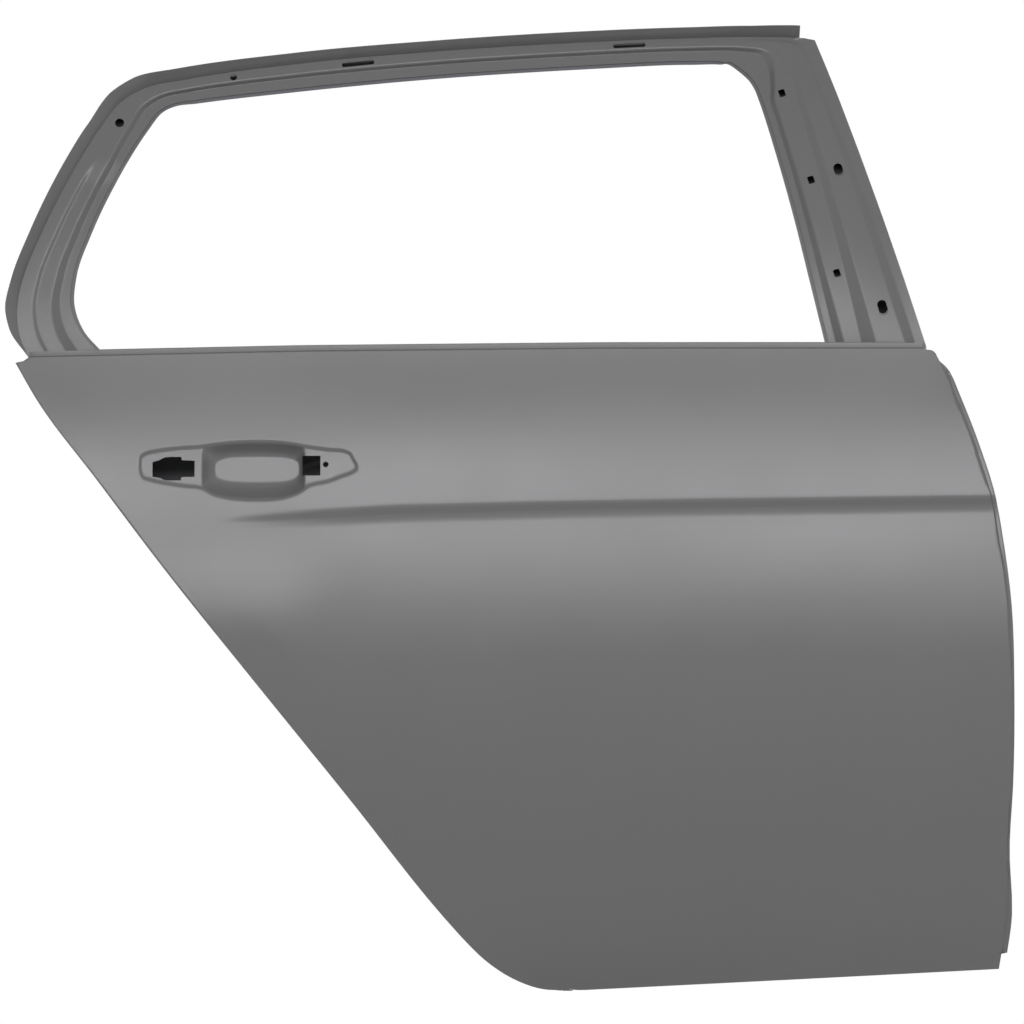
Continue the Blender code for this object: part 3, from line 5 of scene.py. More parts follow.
import bmesh
import bpy
import numpy as np
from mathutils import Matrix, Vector


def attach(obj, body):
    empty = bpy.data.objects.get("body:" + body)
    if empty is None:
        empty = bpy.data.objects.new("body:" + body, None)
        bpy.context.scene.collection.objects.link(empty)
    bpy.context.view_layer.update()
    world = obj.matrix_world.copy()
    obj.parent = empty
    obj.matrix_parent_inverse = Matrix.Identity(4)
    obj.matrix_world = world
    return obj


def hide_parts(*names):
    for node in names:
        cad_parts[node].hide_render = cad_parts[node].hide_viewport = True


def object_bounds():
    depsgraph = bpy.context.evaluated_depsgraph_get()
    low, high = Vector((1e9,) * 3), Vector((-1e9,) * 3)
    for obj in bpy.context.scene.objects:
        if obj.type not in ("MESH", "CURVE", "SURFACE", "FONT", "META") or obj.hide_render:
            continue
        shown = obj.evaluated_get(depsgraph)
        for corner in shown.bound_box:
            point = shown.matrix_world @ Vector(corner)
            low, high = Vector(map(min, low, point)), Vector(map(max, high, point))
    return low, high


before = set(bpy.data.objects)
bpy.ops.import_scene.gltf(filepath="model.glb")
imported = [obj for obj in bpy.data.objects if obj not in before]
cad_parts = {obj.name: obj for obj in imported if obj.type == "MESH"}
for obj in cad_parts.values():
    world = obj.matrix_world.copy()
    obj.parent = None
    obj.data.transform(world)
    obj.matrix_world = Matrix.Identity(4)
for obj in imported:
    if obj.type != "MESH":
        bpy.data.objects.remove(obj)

cad_box = [list(map(float, corner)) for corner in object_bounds()]

# Reinforcements, impact beam and brackets: pressed from thicker steel sheet and drawn
# tube, spot welded inside the shell and coated with it in one dip, so they carry a thin
# dark grey film with a slight sheen.

SPECULAR = 0.25
CLOUD_LOW, CLOUD_HIGH = 0.3, 0.7
PATCH_TO_SHEEN = 3.0
GRAIN_TO_HEIGHT = 10.0


def coated(name, dark, light, smooth, rough, patch, grain, lift, metallic=0.0):
    """A thin coat on metal: its colour drifts between two tones over patches of a given
    size, its roughness between two values over a third of that, and a fine grain, a tenth
    as high as it is wide, lifts the surface."""
    material = bpy.data.materials.new(name)
    material.use_nodes = True
    nodes, links = material.node_tree.nodes, material.node_tree.links
    shader = nodes["Principled BSDF"]
    shader.inputs["Metallic"].default_value = metallic
    shader.inputs["Specular IOR Level"].default_value = SPECULAR
    place = nodes.new("ShaderNodeTexCoord").outputs["Object"]

    def clouds(size, detail):
        noise = nodes.new("ShaderNodeTexNoise")
        noise.inputs["Scale"].default_value = 1.0 / size
        noise.inputs["Detail"].default_value = detail
        links.new(place, noise.inputs["Vector"])
        return noise.outputs["Fac"]

    tone = nodes.new("ShaderNodeMix")
    tone.data_type = "RGBA"
    tone.inputs["A"].default_value = (*dark, 1.0)
    tone.inputs["B"].default_value = (*light, 1.0)
    links.new(clouds(patch, detail=4.0), tone.inputs["Factor"])
    links.new(tone.outputs["Result"], shader.inputs["Base Color"])
    sheen = nodes.new("ShaderNodeMapRange")
    sheen.inputs["From Min"].default_value = CLOUD_LOW
    sheen.inputs["From Max"].default_value = CLOUD_HIGH
    sheen.inputs["To Min"].default_value = smooth
    sheen.inputs["To Max"].default_value = rough
    links.new(clouds(patch / PATCH_TO_SHEEN, detail=5.0), sheen.inputs["Value"])
    links.new(sheen.outputs["Result"], shader.inputs["Roughness"])
    bump = nodes.new("ShaderNodeBump")
    bump.inputs["Strength"].default_value = lift
    bump.inputs["Distance"].default_value = grain / GRAIN_TO_HEIGHT
    links.new(clouds(grain, detail=2.0), bump.inputs["Height"])
    links.new(bump.outputs["Normal"], shader.inputs["Normal"])
    return material


def dress(material, *names):
    """CAD nodes that keep their shape take a finish."""
    for name in names:
        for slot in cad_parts[name].material_slots:
            slot.material = material


dip_coat = coated(
    "dip_coat", dark=(0.060, 0.062, 0.066), light=(0.082, 0.084, 0.090),
    smooth=0.36, rough=0.50, patch=0.09, grain=0.002, lift=0.15,
)
dress(
    dip_coat, "belt_rail_inner", "impact_beam", "beam_bracket_front", "beam_bracket_rear",
    "hinge_reinforcement_upper", "hinge_reinforcement_lower", "check_strap_reinforcement",
    "latch_reinforcement",
)

# Handle reinforcement: a pressed bracket bonded behind the recess. Its coat is near black as painted
# shade, standing for the shaded cavity behind the skin, so that the holes in the skin look dark.

painted_shade_coat = coated(
    "painted_shade_black_coat", dark=(0.010, 0.010, 0.011), light=(0.018, 0.018, 0.020),
    smooth=0.34, rough=0.46, patch=0.05, grain=0.002, lift=0.15,
)
dress(painted_shade_coat, "handle_reinforcement")

# Tapping plates and weld nuts: zinc plated steel, masked from the coat where a bolt goes
# in, with the dull crystalline bloom that plating takes in storage.

zinc = coated(
    "zinc_plating", dark=(0.42, 0.42, 0.40), light=(0.58, 0.58, 0.56),
    smooth=0.30, rough=0.46, patch=0.012, grain=0.0008, lift=0.2, metallic=1.0,
)
dress(
    zinc, "hinge_tapping_plate_upper", "hinge_tapping_plate_lower",
    *(f"carrier_weld_nut_{number}" for number in range(1, 11)),
)

# Pads between beam and skin: black mastic, pumped on as a bead and swollen in the oven,
# matt and slightly lumpy.

mastic = coated(
    "black_mastic", dark=(0.008, 0.008, 0.009), light=(0.018, 0.018, 0.019),
    smooth=0.70, rough=0.90, patch=0.02, grain=0.003, lift=0.6,
)
dress(mastic, *(f"flutter_pad_{number}" for number in range(1, 5)))

# Inner panel and outer belt rail: deep drawn sheet under the same primer as the outside,
# but sprayed thinner, so it is a little darker and duller.

thin_primer = coated(
    "thin_primer", dark=(0.088, 0.090, 0.096), light=(0.104, 0.106, 0.112),
    smooth=0.36, rough=0.46, patch=0.25, grain=0.0014, lift=0.08,
)
dress(thin_primer, "inner_panel", "belt_rail_outer")

# Window frame: two stampings spot welded to a box. The outer one carries the rain lip,
# the flat, the step and the flange for the glass seal, and holes for the trim's clips.

LENGTH, HEIGHT = 1.122, 1.085
SEAT = np.array([1.082, 0.066, 0.452])
FRAME_SHEET = 0.0010
GAP = 0.0003
INNER_DEPTH = 0.120
FRAME_SET_BACK = 0.058
FRAME_LEAN = 0.22
FRAME_RADIUS = 1.47
FRAME_BOX = 0.029
LIP_RISE = 0.014
MAIN_STEP = 0.007
REAR_BEAD = 0.0025
POST_RAISE_FOOT = 0.008
POST_RAISE_TOP = 0.003
POST_FLANGE_DROP = 0.004
GLASS_FLANGE = 0.004
BOX_FLANGE = 0.011
BOX_WALL = 0.004
LEG_BLEND = 0.100
RAIL_DROP = 0.068
BEND_RADIUS = 0.0016
BEND_LIMIT = 0.45
SHARP_ANGLE = 38
STATIONS = 280
FRAME_CORNER = 16

BELT_LINE = ((0.0270, 0.6468), (0.2958, 0.6525), (0.5924, 0.6555), (0.9137, 0.6558))
FRAME_ROOT = (
    (0.0247, 0.6476), (0.0154, 0.6703), (0.0125, 0.7015), (0.0167, 0.7276), (0.0345, 0.7781),
    (0.0686, 0.8527), (0.0922, 0.8947), (0.1096, 0.9186), (0.1344, 0.9339), (0.1736, 0.9426),
    (0.2798, 0.9591), (0.4219, 0.9734), (0.5746, 0.9837), (0.6867, 0.9886), (0.7479, 0.9900),
    (0.8029, 0.9880), (0.8142, 0.9856), (0.8243, 0.9569), (0.8355, 0.9240), (0.8549, 0.8634),
    (0.8761, 0.7951), (0.8963, 0.7276), (0.9165, 0.6579),
)
FRAME_EDGE = (
    (0.0925, 0.6540), (0.0757, 0.6737), (0.0650, 0.7029), (0.0662, 0.7302), (0.0799, 0.7765),
    (0.1123, 0.8501), (0.1342, 0.8889), (0.1468, 0.9073), (0.1607, 0.9157), (0.1839, 0.9201),
    (0.2800, 0.9324), (0.4220, 0.9471), (0.5745, 0.9579), (0.6866, 0.9632), (0.7191, 0.9623),
    (0.7353, 0.9571), (0.7453, 0.9483), (0.7541, 0.9357), (0.7598, 0.9193), (0.7748, 0.8640),
    (0.7914, 0.7956), (0.8060, 0.7281), (0.8208, 0.6602),
)
LIP = (
    (0.0245, 0.6483), (0.0082, 0.6711), (0.0014, 0.6991), (0.0070, 0.7273), (0.0238, 0.7777),
    (0.0571, 0.8542), (0.0797, 0.8952), (0.0988, 0.9256), (0.1244, 0.9436), (0.1667, 0.9529),
    (0.2799, 0.9694), (0.4220, 0.9832), (0.5746, 0.9937), (0.6866, 0.9984), (0.7478, 1.0000),
    (0.8028, 0.9998),
)
LIP_FADE = (0.0, 0.35, 0.8, 1.0)
LIP_ROWS = (1.0, 0.75, 0.5, 0.3, 0.15, 0.07)
LIP_CURVE = 0.8
REAR_LEG = (
    (0.0760, 0.5800, 0.1220, 0.5800), (0.0560, 0.6080, 0.1120, 0.6080),
    (0.0330, 0.6380, 0.0990, 0.6380),
)
FRONT_LEG = (
    (0.9165, 0.6400, 0.8260, 0.6400), (0.9160, 0.6050, 0.8400, 0.6050),
    (0.9150, 0.5650, 0.8480, 0.5650),
)
SECTION_STATIONS = (0, 3, 5, 7, 9, 14, 16, 18, 20, 22)
SECTION_LINES = (
    (0.27, 0.31, 0.40, 0.48, 0.58, 0.72),
    (0.30, 0.37, 0.46, 0.56, 0.68, 0.81),
    (0.31, 0.40, 0.48, 0.57, 0.68, 0.79),
    (0.20, 0.28, 0.36, 0.44, 0.54, 0.66),
    (0.12, 0.20, 0.28, 0.36, 0.44, 0.56),
    (0.11, 0.17, 0.24, 0.32, 0.42, 0.54),
    (0.17, 0.22, 0.34, 0.44, 0.62, 0.71),
    (0.18, 0.23, 0.46, 0.55, 0.84, 0.90),
    (0.12, 0.23, 0.50, 0.61, 0.85, 0.91),
    (0.11, 0.21, 0.51, 0.66, 0.84, 0.92),
)
BEAD_STATIONS = (0, 3, 4.7, 5.05)
BEAD_FADE = (0.6, 1.0, 1.0, 0.0)
POST_FADE = (0.0, 0.0, 0.0, 0.0, 0.0, 0.0, 0.3, 1.0, 1.0, 1.0)
ROUND_HOLES = ((0.1088, 0.8950, 0.0102), (0.2226, 0.9450, 0.0077))
SLOTS = (
    (0.3489, 0.9599, 0.0370, 0.0050, 6), (0.6250, 0.9801, 0.0370, 0.0050, 3),
    (0.8334, 0.8439, 0.0150, 0.0105, 103), (0.8738, 0.6984, 0.0176, 0.0105, 104),
)
CLIP_HOLES = ((0.7790, 0.9275), (0.8059, 0.8336), (0.8296, 0.7350))
CLIP_HOLE = 0.0085
CLIP_NARROWING = 0.85
CLIP_TILT = 17
CLIP_SQUARENESS = 0.25
HOLE_POINTS = 28


def sized(shares):
    """Shares of the door's length and height, in metres from its rear lower corner."""
    shares = np.asarray(shares, float)
    return shares * np.resize((LENGTH, HEIGHT), shares.shape[-1])


def ease(value):
    """Three times the square less twice the cube, held between 0 and 1."""
    t = np.clip(value, 0.0, 1.0)
    return t * t * (3.0 - 2.0 * t)


def line_z(shares, x):
    """Height of a line at x, straight between its points."""
    points = sized(shares)
    return np.interp(x, points[:, 0], points[:, 1])


def travel(points):
    """Distance along a line at each of its points."""
    steps = np.linalg.norm(np.diff(points, axis=0), axis=1)
    return np.concatenate([[0.0], np.cumsum(steps)])


def cubic(points, stations, at):
    """Cubic through the points with central slopes, read at other stations."""
    slopes = np.gradient(points, stations, axis=0)
    i = np.clip(np.searchsorted(stations, at, side="right") - 1, 0, len(stations) - 2)
    span = (stations[i + 1] - stations[i])[:, None]
    u = (at - stations[i])[:, None] / span
    start = (1 + 2 * u) * (1 - u) ** 2 * points[i] + u * (1 - u) ** 2 * span * slopes[i]
    end = u**2 * (3 - 2 * u) * points[i + 1] + u**2 * (u - 1) * span * slopes[i + 1]
    return start + end


def frame_y(z):
    """Depth of the frame's face: a lean from the belt plus the square of the height over
    twice the radius of the side glass."""
    height = z - line_z(BELT_LINE, LENGTH / 2)
    return FRAME_SET_BACK + FRAME_LEAN * height + height * np.abs(height) / (2 * FRAME_RADIUS)


def bent(rows, radius):
    """Rows of a section with each inner corner turned into a quadratic arc that starts a
    radius before it and ends a radius after it, or nearer where a side is short."""
    out = [rows[0]]
    for before, corner, after in zip(rows[:-2], rows[1:-1], rows[2:]):
        back, ahead = before - corner, after - corner
        back_long = np.linalg.norm(back, axis=1)[:, None]
        ahead_long = np.linalg.norm(ahead, axis=1)[:, None]
        start = corner + back / back_long * np.minimum(radius, BEND_LIMIT * back_long)
        end = corner + ahead / ahead_long * np.minimum(radius, BEND_LIMIT * ahead_long)
        for t in (0.0, 0.25, 0.5, 0.75, 1.0):
            out.append((1 - t) ** 2 * start + 2 * t * (1 - t) * corner + t * t * end)
    return [*out, rows[-1]]


def lofted(rows):
    """Points and quads of a surface through matched rows, row after row."""
    rows = np.asarray(rows)
    count = rows.shape[1]
    corner = (np.arange(len(rows) - 1)[:, None] * count + np.arange(count - 1)).ravel()
    quads = np.stack([corner, corner + 1, corner + 1 + count, corner + count], axis=1)
    return rows.reshape(-1, 3), quads


def placed(name, data):
    """A linked object with the given data."""
    item = bpy.data.objects.new(name, data)
    bpy.context.scene.collection.objects.link(item)
    return item


def stamped(name, patches, gauge, material, cut_by=None, even=True):
    """Patches merged to one sheet, given its gauge behind the surface and its holes, and
    kept inside the CAD box."""
    points, faces, start = [], [], 0
    for patch_points, patch_faces in patches:
        points.append(patch_points)
        faces += (np.asarray(patch_faces) + start).tolist()
        start += len(patch_points)
    mesh = bpy.data.meshes.new(name)
    mesh.from_pydata((np.concatenate(points) - SEAT).tolist(), [], faces)
    work = bmesh.new()
    work.from_mesh(mesh)
    bmesh.ops.remove_doubles(work, verts=work.verts, dist=gauge / 200)
    bmesh.ops.delete(work, geom=[v for v in work.verts if not v.link_faces], context="VERTS")
    work.to_mesh(mesh)
    work.free()
    item = placed(name, mesh)
    thicken = item.modifiers.new("gauge", "SOLIDIFY")
    thicken.thickness = gauge
    thicken.offset = -1.0
    thicken.use_even_offset = even
    if cut_by:
        holes = item.modifiers.new("holes", "BOOLEAN")
        holes.operation = "DIFFERENCE"
        holes.solver = "EXACT"
        holes.object = cut_by
    graph = bpy.context.evaluated_depsgraph_get()
    ready = bpy.data.meshes.new_from_object(item.evaluated_get(graph))
    item.modifiers.clear()
    item.data = ready
    ready.name = name
    bpy.data.meshes.remove(mesh)
    if cut_by:
        bpy.data.objects.remove(cut_by)
    flat = np.empty(len(ready.vertices) * 3, np.float32)
    ready.vertices.foreach_get("co", flat)
    inside = np.clip(flat.reshape(-1, 3), cad_box[0], cad_box[1])
    ready.vertices.foreach_set("co", inside.ravel())
    ready.materials.clear()
    ready.materials.append(material)
    ready.shade_smooth()
    ready.set_sharp_from_angle(angle=math.radians(SHARP_ANGLE))
    return item


frame_table = np.concatenate([sized(FRAME_ROOT), sized(FRAME_EDGE)], axis=1)
frame_travel = travel(frame_table)
frame_at = np.linspace(0.0, 1.0, STATIONS) * frame_travel[-1]
corner_at = frame_travel[FRAME_CORNER]
frame_at[np.argmin(np.abs(frame_at - corner_at))] = corner_at
frame_lines = cubic(frame_table, frame_travel, frame_at)
past = frame_at > frame_travel[FRAME_CORNER - 1]
for column in (0, 1):
    straight = np.interp(frame_at, frame_travel, frame_table[:, column])
    frame_lines[past, column] = straight[past]
station = np.interp(frame_at, frame_travel, np.arange(len(frame_travel)))
frame_lines = np.concatenate([sized(REAR_LEG), frame_lines, sized(FRONT_LEG)])
section_number = np.pad(station, (len(REAR_LEG), len(FRONT_LEG)), mode="edge")
frame_root, frame_edge = frame_lines[:, :2], frame_lines[:, 2:]
frame_width = np.linalg.norm(frame_edge - frame_root, axis=1)
reach = (frame_edge - frame_root) / frame_width[:, None]

a0, a1, b0, b1, c0, c1 = (
    np.interp(section_number, SECTION_STATIONS, line) for line in zip(*SECTION_LINES)
)
bead = np.interp(section_number, BEAD_STATIONS, BEAD_FADE)
post = np.interp(section_number, SECTION_STATIONS, POST_FADE)
belt_here = line_z(BELT_LINE, frame_root[:, 0])
post_low = ease((frame_root[:, 1] - belt_here + RAIL_DROP / 4) / (RAIL_DROP / 4))
post_rise = 1.0 - np.clip((frame_root[:, 1] - belt_here) / (HEIGHT - belt_here), 0.0, 1.0)
post_raise = post * post_low * (POST_RAISE_TOP + (POST_RAISE_FOOT - POST_RAISE_TOP) * post_rise)
level_root = -post_raise + post * post_low * POST_FLANGE_DROP
level_outer = bead * REAR_BEAD - post_raise
level_inner = bead * REAR_BEAD
level_flange = level_inner + MAIN_STEP


def frame_row(share, level, beyond=0.0):
    """A row of the frame: a share of the way from root to glass edge and a distance
    beyond it, at a level behind the frame's face."""
    share = np.broadcast_to(share, frame_width.shape)[:, None]
    plan = frame_root + (frame_edge - frame_root) * share + reach * beyond
    return np.stack([plan[:, 0], frame_y(plan[:, 1]) + level, plan[:, 1]], axis=1)


outer_rows = [
    frame_row(0.0, level_root),
    frame_row(a0, level_root),
    frame_row(a1, level_outer),
    frame_row(b0, level_outer),
    frame_row(b1, level_inner),
    frame_row(c0, level_inner),
    frame_row(c1, level_flange),
    frame_row(1.0, level_flange),
]
support = frame_row(0.0, level_root, BEND_RADIUS)
outer_patch = lofted([outer_rows[0], support, *bent(outer_rows, BEND_RADIUS)[1:]])

lip_vectors = sized(LIP) - sized(FRAME_ROOT)[: len(LIP)]
lip_at = station[station <= len(LIP) - 1]
lip_number = np.arange(len(LIP))
lip_out = np.stack([np.interp(lip_at, lip_number, side) for side in lip_vectors.T], axis=1)
lip_fade = np.interp(lip_at, np.arange(len(LIP_FADE)), LIP_FADE)
lip_stretch = slice(len(REAR_LEG), len(REAR_LEG) + len(lip_at))
lip_root = frame_root[lip_stretch]
lip_rows = []
for share in LIP_ROWS:
    plan = lip_root + lip_out * share
    depth = frame_y(lip_root[:, 1]) - LIP_RISE * lip_fade * share**LIP_CURVE
    lip_rows.append(np.stack([plan[:, 0], depth, plan[:, 1]], axis=1))
lip_patch = lofted([*lip_rows, outer_rows[0][lip_stretch]])


def prisms(name, outlines, reach):
    """Prisms in one mesh, each an outline about a spot with its tilt, run along y by the
    same reach before and behind the spot."""
    points, faces = [], []
    for spot, outline, tilt in outlines:
        turn = math.radians(tilt)
        x = spot[0] + outline[:, 0] * math.cos(turn) - outline[:, 1] * math.sin(turn)
        z = spot[2] + outline[:, 0] * math.sin(turn) + outline[:, 1] * math.cos(turn)
        start, count = len(points), len(x)
        for depth in (-reach, reach):
            y = np.full(count, spot[1] + depth)
            points += (np.stack([x, y, z], axis=1) - SEAT).tolist()
        near = list(range(start, start + count))
        far = [k + count for k in near]
        faces += [near, far[::-1]]
        faces += [[b, a, a + count, b + count] for a, b in zip(near, near[1:] + near[:1])]
    mesh = bpy.data.meshes.new(name)
    mesh.from_pydata(points, [], faces)
    work = bmesh.new()
    work.from_mesh(mesh)
    bmesh.ops.recalc_face_normals(work, faces=work.faces)
    work.to_mesh(mesh)
    work.free()
    return placed(name, mesh)


def disc(count):
    """Points round a circle of diameter 1."""
    turn = np.linspace(0.0, 2.0 * math.pi, count, endpoint=False)
    return np.stack([np.cos(turn), np.sin(turn)], axis=1) / 2


def squared(unit, power):
    """A disc with its sines and cosines raised to a power, which fills out its corners."""
    return np.sign(unit) * np.abs(2 * unit) ** power / 2


def oblong(long, wide):
    """A disc as wide as the slot, its halves moved apart to make it as long."""
    unit = disc(HOLE_POINTS)
    ends = np.sign(unit[:, :1]) * (long - wide) / 2
    return unit * wide + ends * (1.0, 0.0)


def on_frame(share):
    """A spot on the frame's face."""
    x, z = sized(share)
    return np.array([x, float(frame_y(z)), z])


clip_square = squared(disc(HOLE_POINTS), CLIP_SQUARENESS) * (CLIP_HOLE * CLIP_NARROWING, CLIP_HOLE)
hole_outlines = [
    *((on_frame((x, z)), disc(HOLE_POINTS) * size, 0) for x, z, size in ROUND_HOLES),
    *((on_frame((x, z)), oblong(long, wide), tilt) for x, z, long, wide, tilt in SLOTS),
    *((on_frame(share), clip_square, CLIP_TILT) for share in CLIP_HOLES),
]

primer = coated(
    "grey_primer", dark=(0.098, 0.098, 0.098), light=(0.110, 0.109, 0.109),
    smooth=0.20, rough=0.25, patch=0.45, grain=0.0012, lift=0.05,
)
frame_outer = stamped(
    "frame_outer_stamping", [outer_patch, lip_patch], FRAME_SHEET, primer,
    prisms("frame_holes", hole_outlines, FRAME_BOX / 2),
)
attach(frame_outer, "root")
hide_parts("window_frame_outer")

# Front post reinforcement: a strip of thicker steel spot welded behind the raised strip of
# the post, its own oblong holes a little above those in front of it.

RAIL_SHEET = 0.0012
POST_STATION = 18
STRIP_EDGE = 0.06
PIERCED_OFF = np.array([-0.0008, 0.0, 0.0022])

behind = FRAME_SHEET + 2 * GAP
post_from = int(np.argmax(section_number >= POST_STATION))
strip_rows = [
    frame_row(a1 + (b0 - a1) * share, level_outer + behind + GAP)[post_from:-1]
    for share in np.linspace(STRIP_EDGE, 1.0 - STRIP_EDGE, 5)
]
strip_holes = [
    (on_frame((x, z)) + PIERCED_OFF, oblong(long, wide), tilt)
    for x, z, long, wide, tilt in SLOTS[2:]
]
post_strip = stamped(
    "post_strip", [lofted(strip_rows)], RAIL_SHEET, dip_coat,
    prisms("strip_holes", strip_holes, FRAME_BOX / 2),
)
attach(post_strip, "root")
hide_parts("front_post_reinforcement")

# Inner frame stamping: closes the box behind the outer one, spot welded to its flanges,
# and its feet flare out to the inner panel.

ROOT_SET_IN = 0.0006
ROOT_LAND = 0.45
GLASS_LAND = 0.6

foot_blend = 1.0 - ease((frame_root[:, 1] - belt_here) / LEG_BLEND)


def inner_row(distance, level=None):
    """A row of the inner stamping: a distance from the root, or from the glass edge where
    it is negative, at a level behind the face or on the back of the box."""
    base = frame_root if distance >= 0 else frame_edge
    plan = base + reach * distance
    depth = frame_y(plan[:, 1])
    if level is None:
        depth = depth + FRAME_BOX
        depth = depth + (INNER_DEPTH - GAP - depth) * foot_blend
    else:
        depth = depth + level
    return np.stack([plan[:, 0], depth, plan[:, 1]], axis=1)


glass_plan = frame_edge + reach * GLASS_FLANGE
glass_depth = frame_y(glass_plan[:, 1]) + level_flange + behind
glass_row = np.stack([glass_plan[:, 0], glass_depth, glass_plan[:, 1]], axis=1)
inner_rows = [
    inner_row(ROOT_SET_IN, level_root + behind),
    inner_row(BOX_FLANGE * ROOT_LAND, level_root + behind),
    inner_row(BOX_FLANGE * ROOT_LAND + BOX_WALL),
    inner_row(-(BOX_FLANGE + BOX_WALL)),
    inner_row(-BOX_FLANGE * GLASS_LAND, level_flange + behind),
    glass_row,
]
frame_inner = stamped(
    "frame_inner_stamping", [lofted(bent(inner_rows, 2 * BEND_RADIUS))], FRAME_SHEET, thin_primer
)
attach(frame_inner, "root")
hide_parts("window_frame_inner")

# Outer skin: one large pressing with the side crease, the joggled front hem band, the
# recess for the handle and its holes. It is hemmed round the inner panel, and its top
# edge folds into a narrow flange along the belt.

SKIN_SHEET = 0.0008
INNER_SHEET = 0.0008
WIDEST = 0.277 * HEIGHT
BELT_TUCK = 0.036
BELT_CURVE = 2.2
SILL_TUCK = 0.026
PLAN_BOW = 0.008
CREASE_DEPTH = 0.0035
CREASE_EDGE = 0.008
CREASE_BLEND = 0.150
CREASE_ROUNDING, BLEND_ROUNDING = 0.5, 0.3
CREASE_START, CREASE_FADE = 0.20, 0.20
SWELL = 0.0034
SWELL_FOOT, SWELL_RUN = 0.200, 0.200
SWELL_TOP, SWELL_RISE = 0.405, 0.085
SWELL_END, SWELL_FADE = 0.400, 0.120
SWELL_ROUNDING = 0.5
SILL_CREASE = 0.003
SILL_CREASE_REACH = 0.050
SILL_CREASE_CURVE = 1.5
JOGGLE = 0.0025
JOGGLE_RAMP = 0.3
HEM_GAP = 0.0007
HEM_DEPTH = 2 * SKIN_SHEET + INNER_SHEET + 2 * HEM_GAP
HEM_RETURN = 0.009
HEM_RADIUS = 0.0009
HEM_BEND = 0.3 * HEM_RADIUS
HEM_AVERAGE = 8
BELT_SET_IN = 0.004
BELT_FLANGE = 0.0063
BELT_LEAN = 0.0011
BELT_RADIUS = 0.0006
BELT_BEND = 0.0010
LEDGE_DEPTH = 0.0023
LEDGE_EDGE = 0.0028
LEDGE_START, LEDGE_ROUNDING = 0.1, 0.8
CUP_DEPTH = 0.017
CUP_LEAN = 0.10
CUP_EDGE = 0.0022
CUP_RIM, CUP_ROUNDING = 0.05, 0.10
CUP_CURVE = 1.5
HANDLE_MIDDLE = (0.2453, 0.53005)
HANDLE_SIZE = (0.2415, 0.0672)
CUP = (0.0240, 0.0092, 0.476, 1.16, 6.0)
CUP_FLOOR = (0.0400, 0.0339, 0.382, 0.417, 3.6)
KEY_HOLE = (-0.3411, 0.0396, 0.1934, 0.389)
PULL_HOLE = (0.2896, 0.0897, 0.0837, 0.325)
SCREW_HOLE = (0.3559, 0.1095)
CORNERS = ((-0.5, -0.5), (0.5, -0.5), (0.5, 0.5), (-0.5, 0.5))
SCREW_SIZE = 0.0062
REAR_POINTS, FRONT_POINTS, TOP_POINTS = 160, 120, 40
HANDLE_POINTS, OVAL_POINTS, SCREW_POINTS = 200, 96, 40
SILL_ROWS, SILL_ROWS_TOP = 15, 0.12
NOTCH_ROWS = (0.0338, 0.0354)
LOW_ROWS = ((SILL_ROWS_TOP, 0.9, 1.0), (20, 5))
CREASE_ROWS = ((1.0, 2.0), (7,))
HANDLE_ROWS = ((2.0, 2.07, 2.47, 2.95, 3.0), (3, 65, 14, 9))
COLUMNS = ((0.0, 0.01, 0.035, 0.315, 0.97, 1.0), (3, 5, 249, 33, 19))
SETTLING = 12

REAR_EDGE = (
    (0.0133, 0.6417), (0.0359, 0.6026), (0.0964, 0.5209), (0.1566, 0.4396), (0.2513, 0.3180),
    (0.3464, 0.1961), (0.4404, 0.0734), (0.4581, 0.0528), (0.4807, 0.0299), (0.5083, 0.0112),
    (0.5330, 0.0018), (0.5645, -0.0003),
)
HORN = ((0.0133, 0.6417), (0.0212, 0.6427), (0.0270, 0.6468))
NOTCH = ((0.9863, 0.0216), (0.9884, 0.0377), (0.9943, 0.0383))
FRONT_EDGE = (
    (0.9943, 0.0377), (0.9982, 0.0734), (0.9952, 0.1453), (0.9984, 0.2164), (0.9993, 0.3078),
    (0.9966, 0.3991), (0.9894, 0.4599), (0.9828, 0.5006), (0.9651, 0.5617), (0.9427, 0.6231),
)
FRONT_TOP = (
    (0.9427, 0.6231), (0.9380, 0.6329), (0.9326, 0.6391), (0.9280, 0.6432), (0.9241, 0.6513),
    (0.9209, 0.6541), (0.9160, 0.6547), (0.9137, 0.6558),
)
FACE_EDGE = (
    (0.9326, 0.6355), (0.9490, 0.5873), (0.9682, 0.5321), (0.9774, 0.5006), (0.9835, 0.4609),
    (0.9904, 0.4143), (0.9950, 0.3484), (0.9966, 0.2977), (0.9965, 0.2368), (0.9927, 0.1554),
    (0.9925, 0.0939), (0.9896, 0.0528), (0.9884, 0.0383),
)
CREASE_LINE = (
    (0.0, 0.478), (0.2134, 0.4833), (0.3953, 0.4930), (0.5525, 0.4970), (0.7097, 0.4996),
    (0.8669, 0.5016), (0.9828, 0.5031),
)
SILL_LINE = ((0.0, 0.040), (0.5496, 0.0492), (0.9757, 0.0631))
BOTTOM_LINE = ((0.5645, -0.0003), (0.9863, 0.0216))
